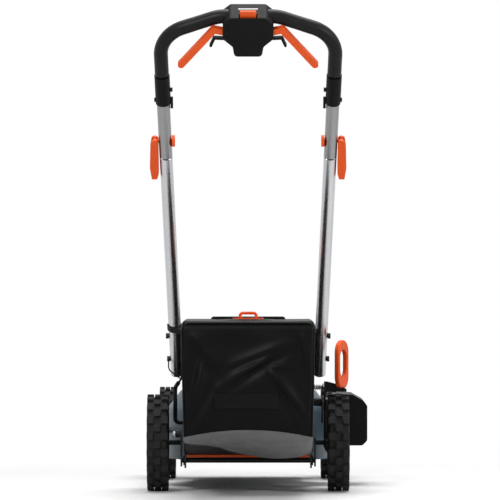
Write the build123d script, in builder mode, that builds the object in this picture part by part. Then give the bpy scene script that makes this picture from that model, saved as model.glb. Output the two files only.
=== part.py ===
"""Walk-behind rotary mower with a soft rear grass bag, standing on its four wheels.

Millimetres. +X is to the right, +Y is forward, +Z is up and the ground is z = 0.
The mower is laid out from its middle plane and its rear axle, and the whole
layout is shifted so that the origin is under the middle of its overall box.
"""

from build123d import *

import os
from math import atan2, cos, degrees, hypot, pi, radians, sin, sqrt

os.makedirs("parts", exist_ok=True)

# Wheels
WHEEL_R = 115
CARCASS_R = 108
TYRE_BORE_R = 92
REAR_TYRE_W = 50
FRONT_TYRE_W = 39.5
REAR_TYRE_OUT = 93
FRONT_TYRE_OUT = 75
AXLE_GAP = 75
LUGS = 18
LUG_LENGTH = 17
LUG_ROOT = 6
BEAD = 4
RIM_T = 10
HUB_R = 20
WEB_T = 8
SPOKES = 6
SPOKE_W = 15

# Height adjuster
CRANK_RUN = 35
CRANK_RISE = 41
ROD_R = 6
CRANK_T = 4
CRANK_GAP = 2.5
CRANK_W = 30
BUSH_T = 3
LINK_RISE = 62
LINK_R = 4
LINK_GAP = 1.5
LINK_EYE = 5
LINK_CLEAR = 7
LINK_JOG = 45
LINK_BEHIND = 5
STEM_OUT = 29
STEM_T = 4
STEM_W = 22
LEVER_BACK = 33
ARM_Z = (238, 262)
ARM_T = 26
GRIP_OUT = 42
GRIP_TOP_Z = 361
GRIP_W = 60
GRIP_T = 12
GRIP_HOLE = (38, 65)
GRIP_YAW = 25
SECTOR_R = 142
SECTOR_W = 24
SECTOR_T = 4
SECTOR_NOTCHES = 7
SECTOR_STEP = 9
SECTOR_MID = 77
SECTOR_BOSSES = (70, 92)

# Deck
SHEET = 2
CHAMBER_R = 200
SKIRT_Z = 66
SHOULDER_Z = 186
DECK_TOP_Z = 236
CROWN_SET = 38
SHOULDER_FILLET = 22
WELL_R = 78
WELL_Z = 140
BODY_HALF = 148
BODY_Z = 84
BODY_CORNER = 40
BODY_REAR = 55
NOSE_OVER = 50
NOSE_TOP_Z = 190
NOSE_FILLET = 45
MOUTH_WALL = 5
MOUTH_DEPTH = 12
WINDOW_L = 150
WINDOW_Z = (80, 160)

# Motor, blade and battery
MOTOR_R = 74
MOTOR_H = 98
SHAFT_R = 8
SHAFT_TOP_Z = 200
BLADE_GAP = 12
BLADE_W = 52
BLADE_T = 4
BLADE_Z = 78
BLADE_BOLT_R = 5
SAIL_L = 70
SAIL_H = 12
FLANGE_R = 24
FLANGE_T = 12
COVER_X = 250
COVER_Y = 290
COVER_CORNER = 80
COVER_TOP_Z = 372
COVER_WALL = 3
COVER_DRAFT = 9
COVER_FILLET = 16
VENTS = 5
LID_X = 150
LID_Y = 130
LID_T = 5
LID_LIP = 8
HINGE_R = 4.5
TRUNNION_R = 2
PACK_X = 120
PACK_Y = 100
PACK_H = 96

# Side deflector
CHUTE_OUT = 79.5
CHUTE_TOP_Z = 226
CHUTE_FOOT_Z = 99
CHUTE_SPAN = (93, 95)
CHUTE_WALL = 3
CHUTE_PIN_OUT = 11
CHUTE_PIN_Z = 217
CHUTE_PIN_R = 3
CHUTE_BARREL_R = 6.5
CHUTE_BARREL = 110
CHUTE_EAR = 6
CHUTE_BASE_Z = 168
CHUTE_CORNER = 9

# Handle
HANDLE_TILT = 50
HANDLE_Y = 20
HANDLE_Z = 315
LEG_OFF = 24.5
LEG_SPREAD = 0.0268
TUBE_R = 15
TUBE_WALL = 2
TUBE_FOOT = -44
BOLT_STEP = 73
BOLT_R = 4
HEAD_R = 7
HEAD_T = 7
BRACKET_T = 4
BRACKET_W = 40
PLUG_T = 3
FOLD_V = 668
FOLD_REACH = 46
FOLD_TAIL = 45
TONGUE_HALF = 7.5
TONGUE_DEPTH = 9
SLOT_HALF = 9.5
SLOT_UP = 42
KNOB_R = 13.5
KNOB_T = 7
CAM_OUT = 24
CAM_R = 8.2
CAM_PIN_R = 2.5
CAM_LENGTH = 106
CAM_W = 20
EYE_W = 8
SLEEVE_SPAN = (34, 44)
SLEEVE_R = 17.5
LEG_RISE = 146
BAR_R = 13
BAR_WALL = 2
BAR_DEPTH = 30
CORNER_RISE = 159
CROSS_RISE = 52
CROSS_HALF = 66
BEND_R = 80
GRIP_R = 16
CLAMP_DROP = 26
NUB_RISE = 3

# Console and its levers
CONSOLE_RISE = 19
CONSOLE_DROP = 89
ARCH_HALF = 40
CONSOLE_CORNER = 9
SHOULDER_HALF = 57
SHOULDER_SPAN = (-40, 3)
WAIST_HALF = 35
WAIST_DROP = 62
TOE_HALF = 31
CONSOLE_FRONT = 24
CONSOLE_REAR = 36
CONSOLE_FILLET = 5
BAIL_N = (17, 29)
BAIL_PIVOT = (47, -26.5)
BAIL_KNEE = (77, -19.5)
BAIL_TIP = (151, -117)
BAIL_W = 15
PIVOT_R = 3
LOCK_N = (19, 27)
LOCK_PIVOT = (43, -44.5)
LOCK_KNEE = (76, -42.5)
LOCK_TIP = (84, -63.5)
LOCK_W = 6
PADDLE_HALF = 18
PADDLE_RISE = 6
PADDLE_L = 27
PADDLE_N = 24.5
PADDLE_T = 7
PADDLE_GAP = 3
PADDLE_SWAY = 4
TRUNNION_L = 5
VIEW_HALF = 22
VIEW_RISE = 1.2
VIEW_H = 4.5
POCKET_U = 36
POCKET_DROP = (58, 9)
PIN_N = (10, 34)
LEVER_GAP = 0.3

# Rear flap and grass bag
FLAP_ROD = (-30, 248)
FLAP_ROD_R = 4
FLAP_PITCH = 55
FLAP_LENGTH = 208
FLAP_SIDE = 14
FLAP_END_HALF = 86
FLAP_SQUARE = 60
FLAP_T = 3
FLAP_BARREL_R = 8
SPRING_TURNS = 5
SPRING_WIRE_R = 1.1
SPRING_GAP = 0.6
SPRING_PITCH = 2
COLLAR_R = 9
COLLAR_T = 3
BAG_OVER = 4
BAG_WALL = 2.5
BAG_FRONT = -57
BAG_REAR = -440
BAG_TOP_Z = 414
BAG_REAR_Z = 158
BAG_FOOT_Z = 96
BAG_CORNER = 22
BAG_EDGE = 9
MOUTH_SIDE = 10
MOUTH_Z = (110, 240)
BAG_GAP = 1
FRAME_T = 8
HOOK_SIDE = (9, 2)
HOOK_H = 12
HOOK_REACH = 8
LOOP_Y = -200
LOOP_W = 45
LOOP_H = 14
LOOP_R = 3.5
PAD_T = 2.5

# Cables
CABLE_R = 2.5
LEAD_R = 1.6
CONDUIT_R = 5
CONDUIT_OUT = 28
CONDUIT_Y = 66
CONDUIT_Z = (160, 245)
CABLE_IN = 12.5
CABLE_N = 20
CABLE_FOOT = -45
CABLE_BEND = 40
STRAP_V = 97
STRAP_W = 15
STRAP_T = 3
LEAD_OUT = 18.5
LEAD_N = (8, 24)
LEAD_DROP = 14
LEAD_BEND = 14

RUN_FIT = 0.06
CLEAR = 0.5

# Across the mower, places are counted outward from the body's side and from the chamber.
REAR_TRACK = 2 * (BODY_HALF + REAR_TYRE_OUT)
FRONT_TRACK = 2 * (BODY_HALF + FRONT_TYRE_OUT)
BRACKET_OUT = BODY_HALF + BRACKET_T
CRANK_X = BRACKET_OUT + BUSH_T + CRANK_GAP
LINK_X = CRANK_X + CRANK_T + LINK_EYE + LINK_GAP
STEM_X = BRACKET_OUT + STEM_OUT
GRIP_X = STEM_X + GRIP_OUT
LEG_HALF = BODY_HALF + LEG_OFF
LINK_BULGE_X = CHAMBER_R + LINK_R + LINK_CLEAR
CHUTE_PIN = (CHAMBER_R + CHUTE_PIN_OUT, CHUTE_PIN_Z)
CHUTE_REACH = CHUTE_PIN[0] + CHUTE_OUT
CROWN_R = CHAMBER_R - CROWN_SET
BLADE_R = CHAMBER_R - BLADE_GAP

# Along the mower, the axles stand clear of the chamber and the nose reaches past the front one.
CHAMBER_Y = CHAMBER_R + AXLE_GAP
WHEELBASE = CHAMBER_Y + CHAMBER_R + AXLE_GAP
NOSE_Y = WHEELBASE + NOSE_OVER
CHUTE_Y = (CHAMBER_Y - CHUTE_SPAN[0], CHAMBER_Y + CHUTE_SPAN[1])
LINK_PASS_R = CHAMBER_R + 2 * (LINK_R + LINK_CLEAR)
LINK_JOG_Y = (WHEEL_R - LINK_BEHIND, CHAMBER_Y + sqrt(LINK_PASS_R**2 - LINK_X**2))

# Up the handle, each piece is counted from the fold, from the top of the legs or from the bar.
LEG_TOP = FOLD_V + LEG_RISE
SLEEVE_V = (LEG_TOP - SLEEVE_SPAN[0], LEG_TOP + SLEEVE_SPAN[1])
CLAMP_V = LEG_TOP - CLAMP_DROP
NUB_V = LEG_TOP + NUB_RISE
BAR_FOOT = LEG_TOP - BAR_DEPTH
CORNER_V = LEG_TOP + CORNER_RISE
CROSS_V = CORNER_V + CROSS_RISE
CONSOLE_V = (CROSS_V - CONSOLE_DROP, CROSS_V + CONSOLE_RISE)
SHOULDER_V = (CROSS_V + SHOULDER_SPAN[0], CROSS_V + SHOULDER_SPAN[1])
WAIST_V = CROSS_V - WAIST_DROP
POCKET_V = (CROSS_V - POCKET_DROP[0], CROSS_V - POCKET_DROP[1])
PADDLE_V = (CROSS_V + PADDLE_RISE, CROSS_V + PADDLE_RISE + PADDLE_L)

# The flap, the bag and the cables keep to the body's sides and to the legs.
FLAP_HALF = BODY_HALF - FLAP_SIDE
BAG_HALF = BODY_HALF + BAG_OVER
BAG_MOUTH = (BODY_HALF - MOUTH_SIDE, MOUTH_Z[0], MOUTH_Z[1])
HOOK_X = (BODY_HALF - HOOK_SIDE[0], BODY_HALF - HOOK_SIDE[1])
CONDUIT_X = -BODY_HALF - CONDUIT_OUT
CABLE_U = CABLE_IN - LEG_HALF
LEAD_U = -LEG_HALF - LEAD_OUT

# The layout is centred on its overall box, which runs from the left rear tyre to the deflector
# and from the back of the paddle to the front tyres.
MID_X = (REAR_TRACK / 2 - CHUTE_REACH) / 2
TILT_COS = cos(radians(HANDLE_TILT))
TILT_SIN = sin(radians(HANDLE_TILT))
PADDLE_BACK = PADDLE_N + PADDLE_T / 2
HANDLE_BACK = TILT_COS * PADDLE_V[1] + TILT_SIN * PADDLE_BACK - HANDLE_Y
REAR_Y = (HANDLE_BACK - WHEELBASE - WHEEL_R) / 2
MIDDLE = Plane.YZ.offset(MID_X)
ROD_Z = WHEEL_R - CRANK_RISE
CRANK_L = hypot(CRANK_RUN, CRANK_RISE)
CRANK_ANGLE = degrees(atan2(CRANK_RISE, CRANK_RUN))
HANDS = (("left", -1), ("right", 1))


def plan(z):
    """Level plane at height z: local x is right and local y is forward of the rear axle."""
    return Plane(origin=(MID_X, REAR_Y, z))


def side(x):
    """Upright plane x right of the middle: local x is forward and local y is up."""
    return Plane(origin=(MID_X + x, REAR_Y, 0), x_dir=(0, 1, 0), z_dir=(1, 0, 0))


def rear(y):
    """Upright plane y forward of the rear axle, from behind: local x is right, y is up."""
    return Plane(origin=(MID_X, REAR_Y + y, 0), x_dir=(1, 0, 0), z_dir=(0, -1, 0))


HANDLE = Plane(
    origin=(MID_X, REAR_Y + HANDLE_Y, HANDLE_Z),
    x_dir=(1, 0, 0),
    z_dir=(0, -TILT_SIN, -TILT_COS),
)


def slope(v, n):
    """Forward and up position of a point v up the handle and n behind its middle plane."""
    return (HANDLE_Y - TILT_COS * v - TILT_SIN * n, HANDLE_Z + TILT_SIN * v - TILT_COS * n)


def leg_half(v):
    """Distance of a handle leg from the middle plane at v up the handle."""
    return LEG_HALF + LEG_SPREAD * v


def leg_plane(hand, v):
    """Plane square to a handle leg at v up the handle. hand is -1 for left, 1 for right."""
    foot = HANDLE.from_local_coords(Vector(hand * leg_half(v), v, 0))
    ahead = HANDLE.from_local_coords(Vector(hand * leg_half(v + 1), v + 1, 0))
    return Plane(origin=foot, x_dir=(1, 0, 0), z_dir=ahead - foot)


def leg_side(hand, v, out=0):
    """Plane square to X at a leg, out from its axis: local x is up the handle, y is rearward."""
    spot = HANDLE.from_local_coords(Vector(hand * (leg_half(v) + out), v, 0))
    return Plane(origin=spot, x_dir=HANDLE.y_dir, z_dir=(1, 0, 0))


def wheel_plane(hand, front):
    """Plane of a wheel at its centre: local x points down and local z points outward."""
    track = FRONT_TRACK if front else REAR_TRACK
    width = FRONT_TYRE_W if front else REAR_TYRE_W
    forward = WHEELBASE if front else 0
    spot = (MID_X + hand * (track - width) / 2, REAR_Y + forward, WHEEL_R)
    return Plane(origin=spot, x_dir=(0, 0, -1), z_dir=(hand, 0, 0))


def axial_section(base):
    """Plane through a wheel's axis: local x is radial and local y is outward."""
    return Plane(origin=base.origin, x_dir=base.x_dir, z_dir=base.y_dir * -1)


def save(piece, name):
    """Label a finished piece and write it."""
    piece.label = name
    export_step(piece, f"parts/{name}.step")


# Wheels: a moulded tyre with three rows of flat-topped blocks on a spoked plastic rim.
def make_tyre(base, width):
    half = width / 2
    block = WHEEL_R - CARCASS_R + LUG_ROOT
    rows = (
        (-half, -0.2 * width, 0),
        (0.2 * width, half, 0),
        (-0.14 * width, 0.14 * width, 180 / LUGS),
    )
    with BuildPart() as tyre:
        with BuildSketch(axial_section(base)):
            with BuildLine():
                Polyline(
                    (TYRE_BORE_R, BEAD - half),
                    (TYRE_BORE_R, half - BEAD),
                    (TYRE_BORE_R + 2 * BEAD, half),
                    (CARCASS_R - BEAD, half),
                    (CARCASS_R, half - BEAD),
                    (CARCASS_R, BEAD - half),
                    (CARCASS_R - BEAD, -half),
                    (TYRE_BORE_R + 2 * BEAD, -half),
                    close=True,
                )
            make_face()
        revolve(axis=Axis(base.origin, base.z_dir))
        for low, high, start in rows:
            with BuildSketch(base.offset(low)):
                with PolarLocations(WHEEL_R - block / 2, LUGS, start_angle=start):
                    Rectangle(block, LUG_LENGTH)
            extrude(amount=high - low)
    return tyre.part


def make_rim(base, width):
    half = width / 2
    barrel_r = TYRE_BORE_R - RIM_T
    corner = (Align.MIN, Align.MIN)
    with BuildPart() as rim:
        with BuildSketch(axial_section(base)):
            with Locations((ROD_R + RUN_FIT, BEAD - half)):
                Rectangle(HUB_R - ROD_R - RUN_FIT, width - 4 * BEAD, align=corner)
            with Locations((ROD_R + RUN_FIT, -WEB_T / 2)):
                Rectangle(barrel_r, WEB_T, align=corner)
            with Locations((barrel_r, BEAD - half)):
                Rectangle(RIM_T, width - 2 * BEAD, align=corner)
        revolve(axis=Axis(base.origin, base.z_dir))
        with BuildSketch(base.offset(-WEB_T / 2)):
            Circle(barrel_r - RIM_T / 2)
            Circle(HUB_R + RIM_T, mode=Mode.SUBTRACT)
            with PolarLocations(barrel_r / 2, SPOKES):
                Rectangle(barrel_r, SPOKE_W, mode=Mode.SUBTRACT)
        extrude(amount=WEB_T, mode=Mode.SUBTRACT)
    return rim.part


for end, width in (("rear", REAR_TYRE_W), ("front", FRONT_TYRE_W)):
    base = wheel_plane(1, end == "front")
    for name, piece in (("tyre", make_tyre(base, width)), ("rim", make_rim(base, width))):
        save(piece, f"{name}_{end}_right")
        with BuildPart() as left_piece:
            mirror(piece, about=MIDDLE)
        save(left_piece.part, f"{name}_{end}_left")


# Crank axles: a cross rod, a plate at each end and a stub axle for each wheel. The left plates
# also carry the pin of the link rod that ties both axles together.
def make_axle(wheel_y, track):
    rod_y = wheel_y - CRANK_RUN
    stub_end = track / 2 - BEAD
    with BuildPart() as axle:
        with BuildSketch(side(-CRANK_X)):
            with Locations((rod_y, ROD_Z)):
                Circle(ROD_R)
        extrude(amount=2 * CRANK_X)
        for hand in (-1, 1):
            with BuildSketch(side(hand * CRANK_X)):
                with Locations((wheel_y - CRANK_RUN / 2, WHEEL_R - CRANK_RISE / 2)):
                    SlotCenterToCenter(CRANK_L, CRANK_W, rotation=CRANK_ANGLE)
                if hand < 0:
                    with Locations((rod_y, ROD_Z + LINK_RISE / 2)):
                        SlotCenterToCenter(LINK_RISE, 5 * LINK_R, rotation=90)
            extrude(amount=hand * CRANK_T)
            with BuildSketch(side(hand * CRANK_X)):
                with Locations((wheel_y, WHEEL_R)):
                    Circle(ROD_R)
            extrude(amount=hand * (stub_end - CRANK_X))
        with BuildSketch(side(-CRANK_X)):
            with Locations((rod_y, ROD_Z + LINK_RISE)):
                Circle(LINK_R)
        extrude(amount=CRANK_X - LINK_X - 2 * LINK_EYE)
    return axle.part


save(make_axle(0, REAR_TRACK), "rear_axle")
save(make_axle(WHEELBASE, FRONT_TRACK), "front_axle")

# Link rod on the left: it jogs out round the cutting chamber between the wheels.
link_z = ROD_Z + LINK_RISE
rear_pin_y = -CRANK_RUN
front_pin_y = WHEELBASE - CRANK_RUN
link_end = 1.5 * LINK_R
with BuildPart() as tie_rod:
    with BuildLine(plan(link_z)) as link_line:
        FilletPolyline(
            (-LINK_X, rear_pin_y + link_end),
            (-LINK_X, LINK_JOG_Y[0]),
            (-LINK_BULGE_X, LINK_JOG_Y[0] + LINK_JOG),
            (-LINK_BULGE_X, LINK_JOG_Y[1] - LINK_JOG),
            (-LINK_X, LINK_JOG_Y[1]),
            (-LINK_X, front_pin_y - link_end),
            radius=5 * LINK_R,
        )
    with BuildSketch(Plane(origin=link_line.line @ 0, z_dir=link_line.line % 0)):
        Circle(LINK_R)
    sweep(path=link_line.line)
    for pin_y, fit in ((rear_pin_y, RUN_FIT), (front_pin_y, CLEAR)):
        with BuildSketch(side(-LINK_X - LINK_EYE)):
            with Locations((pin_y, link_z)):
                Circle(2 * LINK_R)
        extrude(amount=2 * LINK_EYE)
        with BuildSketch(side(-LINK_X - LINK_EYE)):
            with Locations((pin_y, link_z)):
                Circle(LINK_R + fit)
        extrude(amount=2 * LINK_EYE, mode=Mode.SUBTRACT)
save(tie_rod.part, "tie_rod")

# Height lever: a steel stem on the right rear stub, an arm out over the tyre and an orange loop.
with BuildPart() as height_lever:
    with BuildSketch(side(STEM_X)):
        with BuildLine():
            Polyline(
                (-STEM_W / 2, WHEEL_R),
                (STEM_W / 2, WHEEL_R),
                (STEM_W / 2 - LEVER_BACK, ARM_Z[1]),
                (-STEM_W / 2 - LEVER_BACK, ARM_Z[1]),
                close=True,
            )
        make_face()
        with Locations((0, WHEEL_R)):
            Circle(STEM_W / 2 + 2)
            Circle(ROD_R, mode=Mode.SUBTRACT)
    extrude(amount=STEM_T)
    with BuildSketch(rear(-LEVER_BACK)):
        with BuildLine():
            Polyline(
                (STEM_X, ARM_Z[0]),
                (GRIP_X + GRIP_T, ARM_Z[0]),
                (GRIP_X + GRIP_T, ARM_Z[0] + GRIP_T / 2),
                (GRIP_X - GRIP_T, ARM_Z[1] - GRIP_T / 2),
                (STEM_X + 2 * STEM_T, ARM_Z[1]),
                (STEM_X, ARM_Z[1]),
                close=True,
            )
        make_face()
    extrude(amount=ARM_T / 2, both=True)
    fillet(height_lever.edges().group_by(Axis.X)[-1].filter_by(Axis.Z), ARM_T / 4)
save(height_lever.part, "height_lever")

grip_turn = radians(GRIP_YAW)
grip_plane = Plane(
    origin=(MID_X + GRIP_X, REAR_Y - LEVER_BACK, 0),
    x_dir=(sin(grip_turn), cos(grip_turn), 0),
    z_dir=(cos(grip_turn), -sin(grip_turn), 0),
)
grip_foot = ARM_Z[0] + GRIP_T / 2
grip_mid = (GRIP_TOP_Z + grip_foot) / 2
with BuildPart() as height_grip:
    with BuildSketch(grip_plane):
        with Locations((0, grip_mid)):
            SlotOverall(GRIP_TOP_Z - grip_foot, GRIP_W, rotation=90)
        with Locations((0, grip_mid + GRIP_T / 4)):
            SlotOverall(GRIP_HOLE[1], GRIP_HOLE[0], rotation=90, mode=Mode.SUBTRACT)
    extrude(amount=GRIP_T / 2, both=True)
    fillet(height_grip.edges().filter_by(GeomType.CIRCLE), GRIP_T / 4)
    add(height_lever.part, mode=Mode.SUBTRACT)
save(height_grip.part, "height_grip")

# Notched sector beside the lever, standing off the right handle bracket on two bosses.
sector_x = STEM_X - 1 - SECTOR_T
sector_half = SECTOR_STEP * (SECTOR_NOTCHES + 1) / 2
sector_ends = []
for angle in (SECTOR_MID - sector_half, SECTOR_MID + sector_half):
    sector_ends.append((2 * SECTOR_R * cos(radians(angle)), 2 * SECTOR_R * sin(radians(angle))))
with BuildPart() as height_sector:
    with BuildSketch(side(sector_x)):
        with Locations((-CRANK_RUN, ROD_Z)):
            Circle(SECTOR_R + SECTOR_W / 2)
            Circle(SECTOR_R - SECTOR_W / 2, mode=Mode.SUBTRACT)
            Polygon((0, 0), *sector_ends, align=None, mode=Mode.INTERSECT)
            with PolarLocations(
                SECTOR_R + SECTOR_W / 2,
                SECTOR_NOTCHES,
                start_angle=SECTOR_MID - SECTOR_STEP * (SECTOR_NOTCHES - 1) / 2,
                angular_range=SECTOR_STEP * SECTOR_NOTCHES,
            ):
                Rectangle(SECTOR_W / 2, SECTOR_W / 3, mode=Mode.SUBTRACT)
    extrude(amount=SECTOR_T)
    with BuildSketch(side(BRACKET_OUT)):
        for angle in SECTOR_BOSSES:
            boss = radians(angle)
            with Locations((SECTOR_R * cos(boss) - CRANK_RUN, ROD_Z + SECTOR_R * sin(boss))):
                Circle(SECTOR_W / 4)
    extrude(amount=sector_x - BRACKET_OUT)
save(height_sector.part, "height_sector")


# Deck: one steel pressing. A round cutting chamber with a motor well, a tunnel to the rear and
# a lower nose in front.
def chamber_form(inset):
    """The chamber's outer form, or its inner one, inset by the sheet."""
    with BuildPart() as form:
        with BuildSketch(side(0)):
            with BuildLine():
                Polyline(
                    (0, SKIRT_Z - inset),
                    (CHAMBER_R - inset, SKIRT_Z - inset),
                    (CHAMBER_R - inset, SHOULDER_Z - inset),
                    (CROWN_R - inset, DECK_TOP_Z - inset),
                    (WELL_R + inset, DECK_TOP_Z - inset),
                    (WELL_R + inset, WELL_Z - inset),
                    (0, WELL_Z - inset),
                    close=True,
                )
            profile = make_face()
            shoulder = profile.vertices().sort_by(Axis.X).filter_by_position(
                Axis.X, CROWN_R - 2 * SHEET, CHAMBER_R
            )
            fillet(shoulder.sort_by(Axis.Y)[1:], SHOULDER_FILLET - inset)
        revolve(axis=Axis((MID_X, REAR_Y, 0), (0, 0, 1)))
    return form.part.moved(Location((0, CHAMBER_Y, 0)))


def arch(inset, top):
    """Arched tunnel section seen from behind, open below."""
    width = 2 * (BODY_HALF - inset)
    with Locations((0, BODY_Z - inset)):
        box = Rectangle(width, top - BODY_Z, align=(Align.CENTER, Align.MIN))
    fillet(box.vertices().group_by(Axis.Y)[-1], BODY_CORNER - inset)


nose_start = CHAMBER_Y + CHAMBER_R / 2


def nose_form(inset):
    """The nose's outer form, or its inner one."""
    with BuildPart() as form:
        with BuildSketch(plan(BODY_Z - inset)):
            with Locations((0, nose_start)):
                length = NOSE_Y - nose_start - inset
                base = Rectangle(2 * (BODY_HALF - inset), length, align=(Align.CENTER, Align.MIN))
            fillet(base.vertices().group_by(Axis.Y)[-1], NOSE_FILLET - inset)
        extrude(amount=NOSE_TOP_Z - BODY_Z)
        fillet(form.faces().sort_by(Axis.Z)[-1].edges(), NOSE_FILLET / 2 - inset)
    return form.part


tunnel_end = CHAMBER_Y - sqrt(CHAMBER_R**2 - BODY_HALF**2) + 8 * SHEET
tunnel_l = tunnel_end + BODY_REAR
with BuildPart() as deck_shell:
    add(nose_form(0))
    add(nose_form(SHEET), mode=Mode.SUBTRACT)
    add(chamber_form(0))
    with BuildSketch(rear(tunnel_end)):
        arch(0, DECK_TOP_Z)
    extrude(amount=tunnel_l)
    add(chamber_form(SHEET), mode=Mode.SUBTRACT)
    with BuildSketch(plan(WELL_Z)):
        with Locations((0, CHAMBER_Y)):
            Circle(WELL_R)
    extrude(amount=DECK_TOP_Z, mode=Mode.SUBTRACT)
    with BuildSketch(rear(tunnel_end + SHEET)):
        arch(SHEET, DECK_TOP_Z)
    extrude(amount=tunnel_l + 2 * SHEET, mode=Mode.SUBTRACT)
    with BuildSketch(side(CHAMBER_R / 2)):
        with Locations((CHAMBER_Y, (WINDOW_Z[0] + WINDOW_Z[1]) / 2)):
            RectangleRounded(WINDOW_L, WINDOW_Z[1] - WINDOW_Z[0], SHOULDER_FILLET)
    extrude(amount=CHAMBER_R, mode=Mode.SUBTRACT)
    with BuildSketch(plan(WELL_Z - 2 * SHEET)):
        with Locations((0, CHAMBER_Y)):
            Circle(2 * SHAFT_R)
    extrude(amount=4 * SHEET, mode=Mode.SUBTRACT)
save(deck_shell.part, "deck_shell")

# Orange moulded frame inside the tunnel's rear mouth, with a sill across its foot.
with BuildPart() as tunnel_mouth:
    with BuildSketch(rear(MOUTH_DEPTH - BODY_REAR)):
        arch(SHEET, DECK_TOP_Z)
    extrude(amount=MOUTH_DEPTH)
    with BuildSketch(rear(MOUTH_DEPTH - BODY_REAR)):
        arch(SHEET + MOUTH_WALL, DECK_TOP_Z)
        with Locations((0, BODY_Z)):
            Rectangle(2 * BODY_HALF, 2 * MOUTH_WALL, mode=Mode.SUBTRACT)
    extrude(amount=MOUTH_DEPTH, mode=Mode.SUBTRACT)
save(tunnel_mouth.part, "tunnel_mouth")

# Front axle brackets on the nose's sides, and a flanged bush at each end of both cross rods.
front_rod_y = WHEELBASE - CRANK_RUN
bush_r = 1.5 * ROD_R
with BuildPart() as front_brackets:
    with BuildSketch(side(BODY_HALF)):
        with Locations((front_rod_y, ROD_Z + LINK_RISE / 2)):
            SlotCenterToCenter(LINK_RISE, 5 * ROD_R, rotation=90)
        with Locations((front_rod_y, ROD_Z)):
            Circle(bush_r, mode=Mode.SUBTRACT)
    extrude(amount=BRACKET_T)
    mirror(about=MIDDLE)
save(front_brackets.part, "front_brackets")

with BuildPart() as axle_bushes:
    for rod_y in (-CRANK_RUN, front_rod_y):
        with BuildSketch(side(BODY_HALF)):
            with Locations((rod_y, ROD_Z)):
                Circle(bush_r)
        extrude(amount=BRACKET_T)
        with BuildSketch(side(BODY_HALF + BRACKET_T)):
            with Locations((rod_y, ROD_Z)):
                Circle(2 * ROD_R)
        extrude(amount=BUSH_T)
        with BuildSketch(side(BODY_HALF)):
            with Locations((rod_y, ROD_Z)):
                Circle(ROD_R + RUN_FIT)
        extrude(amount=BRACKET_T + BUSH_T, mode=Mode.SUBTRACT)
    mirror(about=MIDDLE)
save(axle_bushes.part, "axle_bushes")

# Motor standing in the deck's well, the battery on top of it, and the drive down to the blade.
blade_top = BLADE_Z + BLADE_T
with BuildPart() as motor:
    with BuildSketch(plan(WELL_Z)):
        with Locations((0, CHAMBER_Y)):
            Circle(MOTOR_R)
    extrude(amount=MOTOR_H)
    fillet(motor.edges().group_by(Axis.Z)[-1], COVER_WALL)
    with BuildSketch(plan(WELL_Z)):
        with Locations((0, CHAMBER_Y)):
            Circle(SHAFT_R + RUN_FIT)
    extrude(amount=SHAFT_TOP_Z - WELL_Z + CLEAR, mode=Mode.SUBTRACT)
save(motor.part, "motor")

with BuildPart() as blade_mount:
    with BuildSketch(plan(blade_top)):
        with Locations((0, CHAMBER_Y)):
            Circle(FLANGE_R)
    extrude(amount=FLANGE_T)
    with BuildSketch(plan(blade_top)):
        with Locations((0, CHAMBER_Y)):
            Circle(SHAFT_R)
    extrude(amount=SHAFT_TOP_Z - blade_top)
    with BuildSketch(plan(blade_top)):
        with Locations((0, CHAMBER_Y)):
            Circle(BLADE_BOLT_R)
    extrude(amount=2 * FLANGE_T, mode=Mode.SUBTRACT)
save(blade_mount.part, "blade_mount")

with BuildPart() as blade:
    with BuildSketch(plan(BLADE_Z)):
        with Locations((0, CHAMBER_Y)):
            Rectangle(2 * BLADE_R, BLADE_W)
            Circle(BLADE_R, mode=Mode.INTERSECT)
            Circle(BLADE_BOLT_R, mode=Mode.SUBTRACT)
    extrude(amount=BLADE_T)
    for turn in (-1, 1):
        with BuildSketch(side(turn * (BLADE_R - SAIL_L - SAIL_H))):
            with BuildLine():
                Polyline(
                    (CHAMBER_Y + turn * (BLADE_W / 2 - BLADE_T), BLADE_Z),
                    (CHAMBER_Y + turn * BLADE_W / 2, BLADE_Z),
                    (CHAMBER_Y + turn * (BLADE_W / 2 + SAIL_H / 2), BLADE_Z + SAIL_H),
                    (CHAMBER_Y + turn * (BLADE_W / 2 + SAIL_H / 2 - BLADE_T), BLADE_Z + SAIL_H),
                    (CHAMBER_Y + turn * (BLADE_W / 2 - 2 * BLADE_T), BLADE_Z + BLADE_T),
                    close=True,
                )
            make_face()
        extrude(amount=turn * SAIL_L)
save(blade.part, "blade")

with BuildPart() as blade_bolt:
    with BuildSketch(plan(BLADE_Z)):
        with Locations((0, CHAMBER_Y)):
            Circle(FLANGE_R - BLADE_T)
    extrude(amount=-BLADE_T)
    with BuildSketch(plan(BLADE_Z - BLADE_T)):
        with Locations((0, CHAMBER_Y)):
            RegularPolygon(2 * BLADE_BOLT_R, 6)
    extrude(amount=-2 * BLADE_T)
    with BuildSketch(plan(BLADE_Z)):
        with Locations((0, CHAMBER_Y)):
            Circle(BLADE_BOLT_R)
    extrude(amount=BLADE_T + 2 * FLANGE_T)
save(blade_bolt.part, "blade_bolt")

motor_top = WELL_Z + MOTOR_H
with BuildPart() as battery_pack:
    with BuildSketch(plan(motor_top)):
        with Locations((0, CHAMBER_Y)):
            RectangleRounded(PACK_X, PACK_Y, LID_LIP)
    extrude(amount=PACK_H)
    fillet(battery_pack.edges().group_by(Axis.Z)[-1], COVER_WALL)
save(battery_pack.part, "battery_pack")

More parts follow.
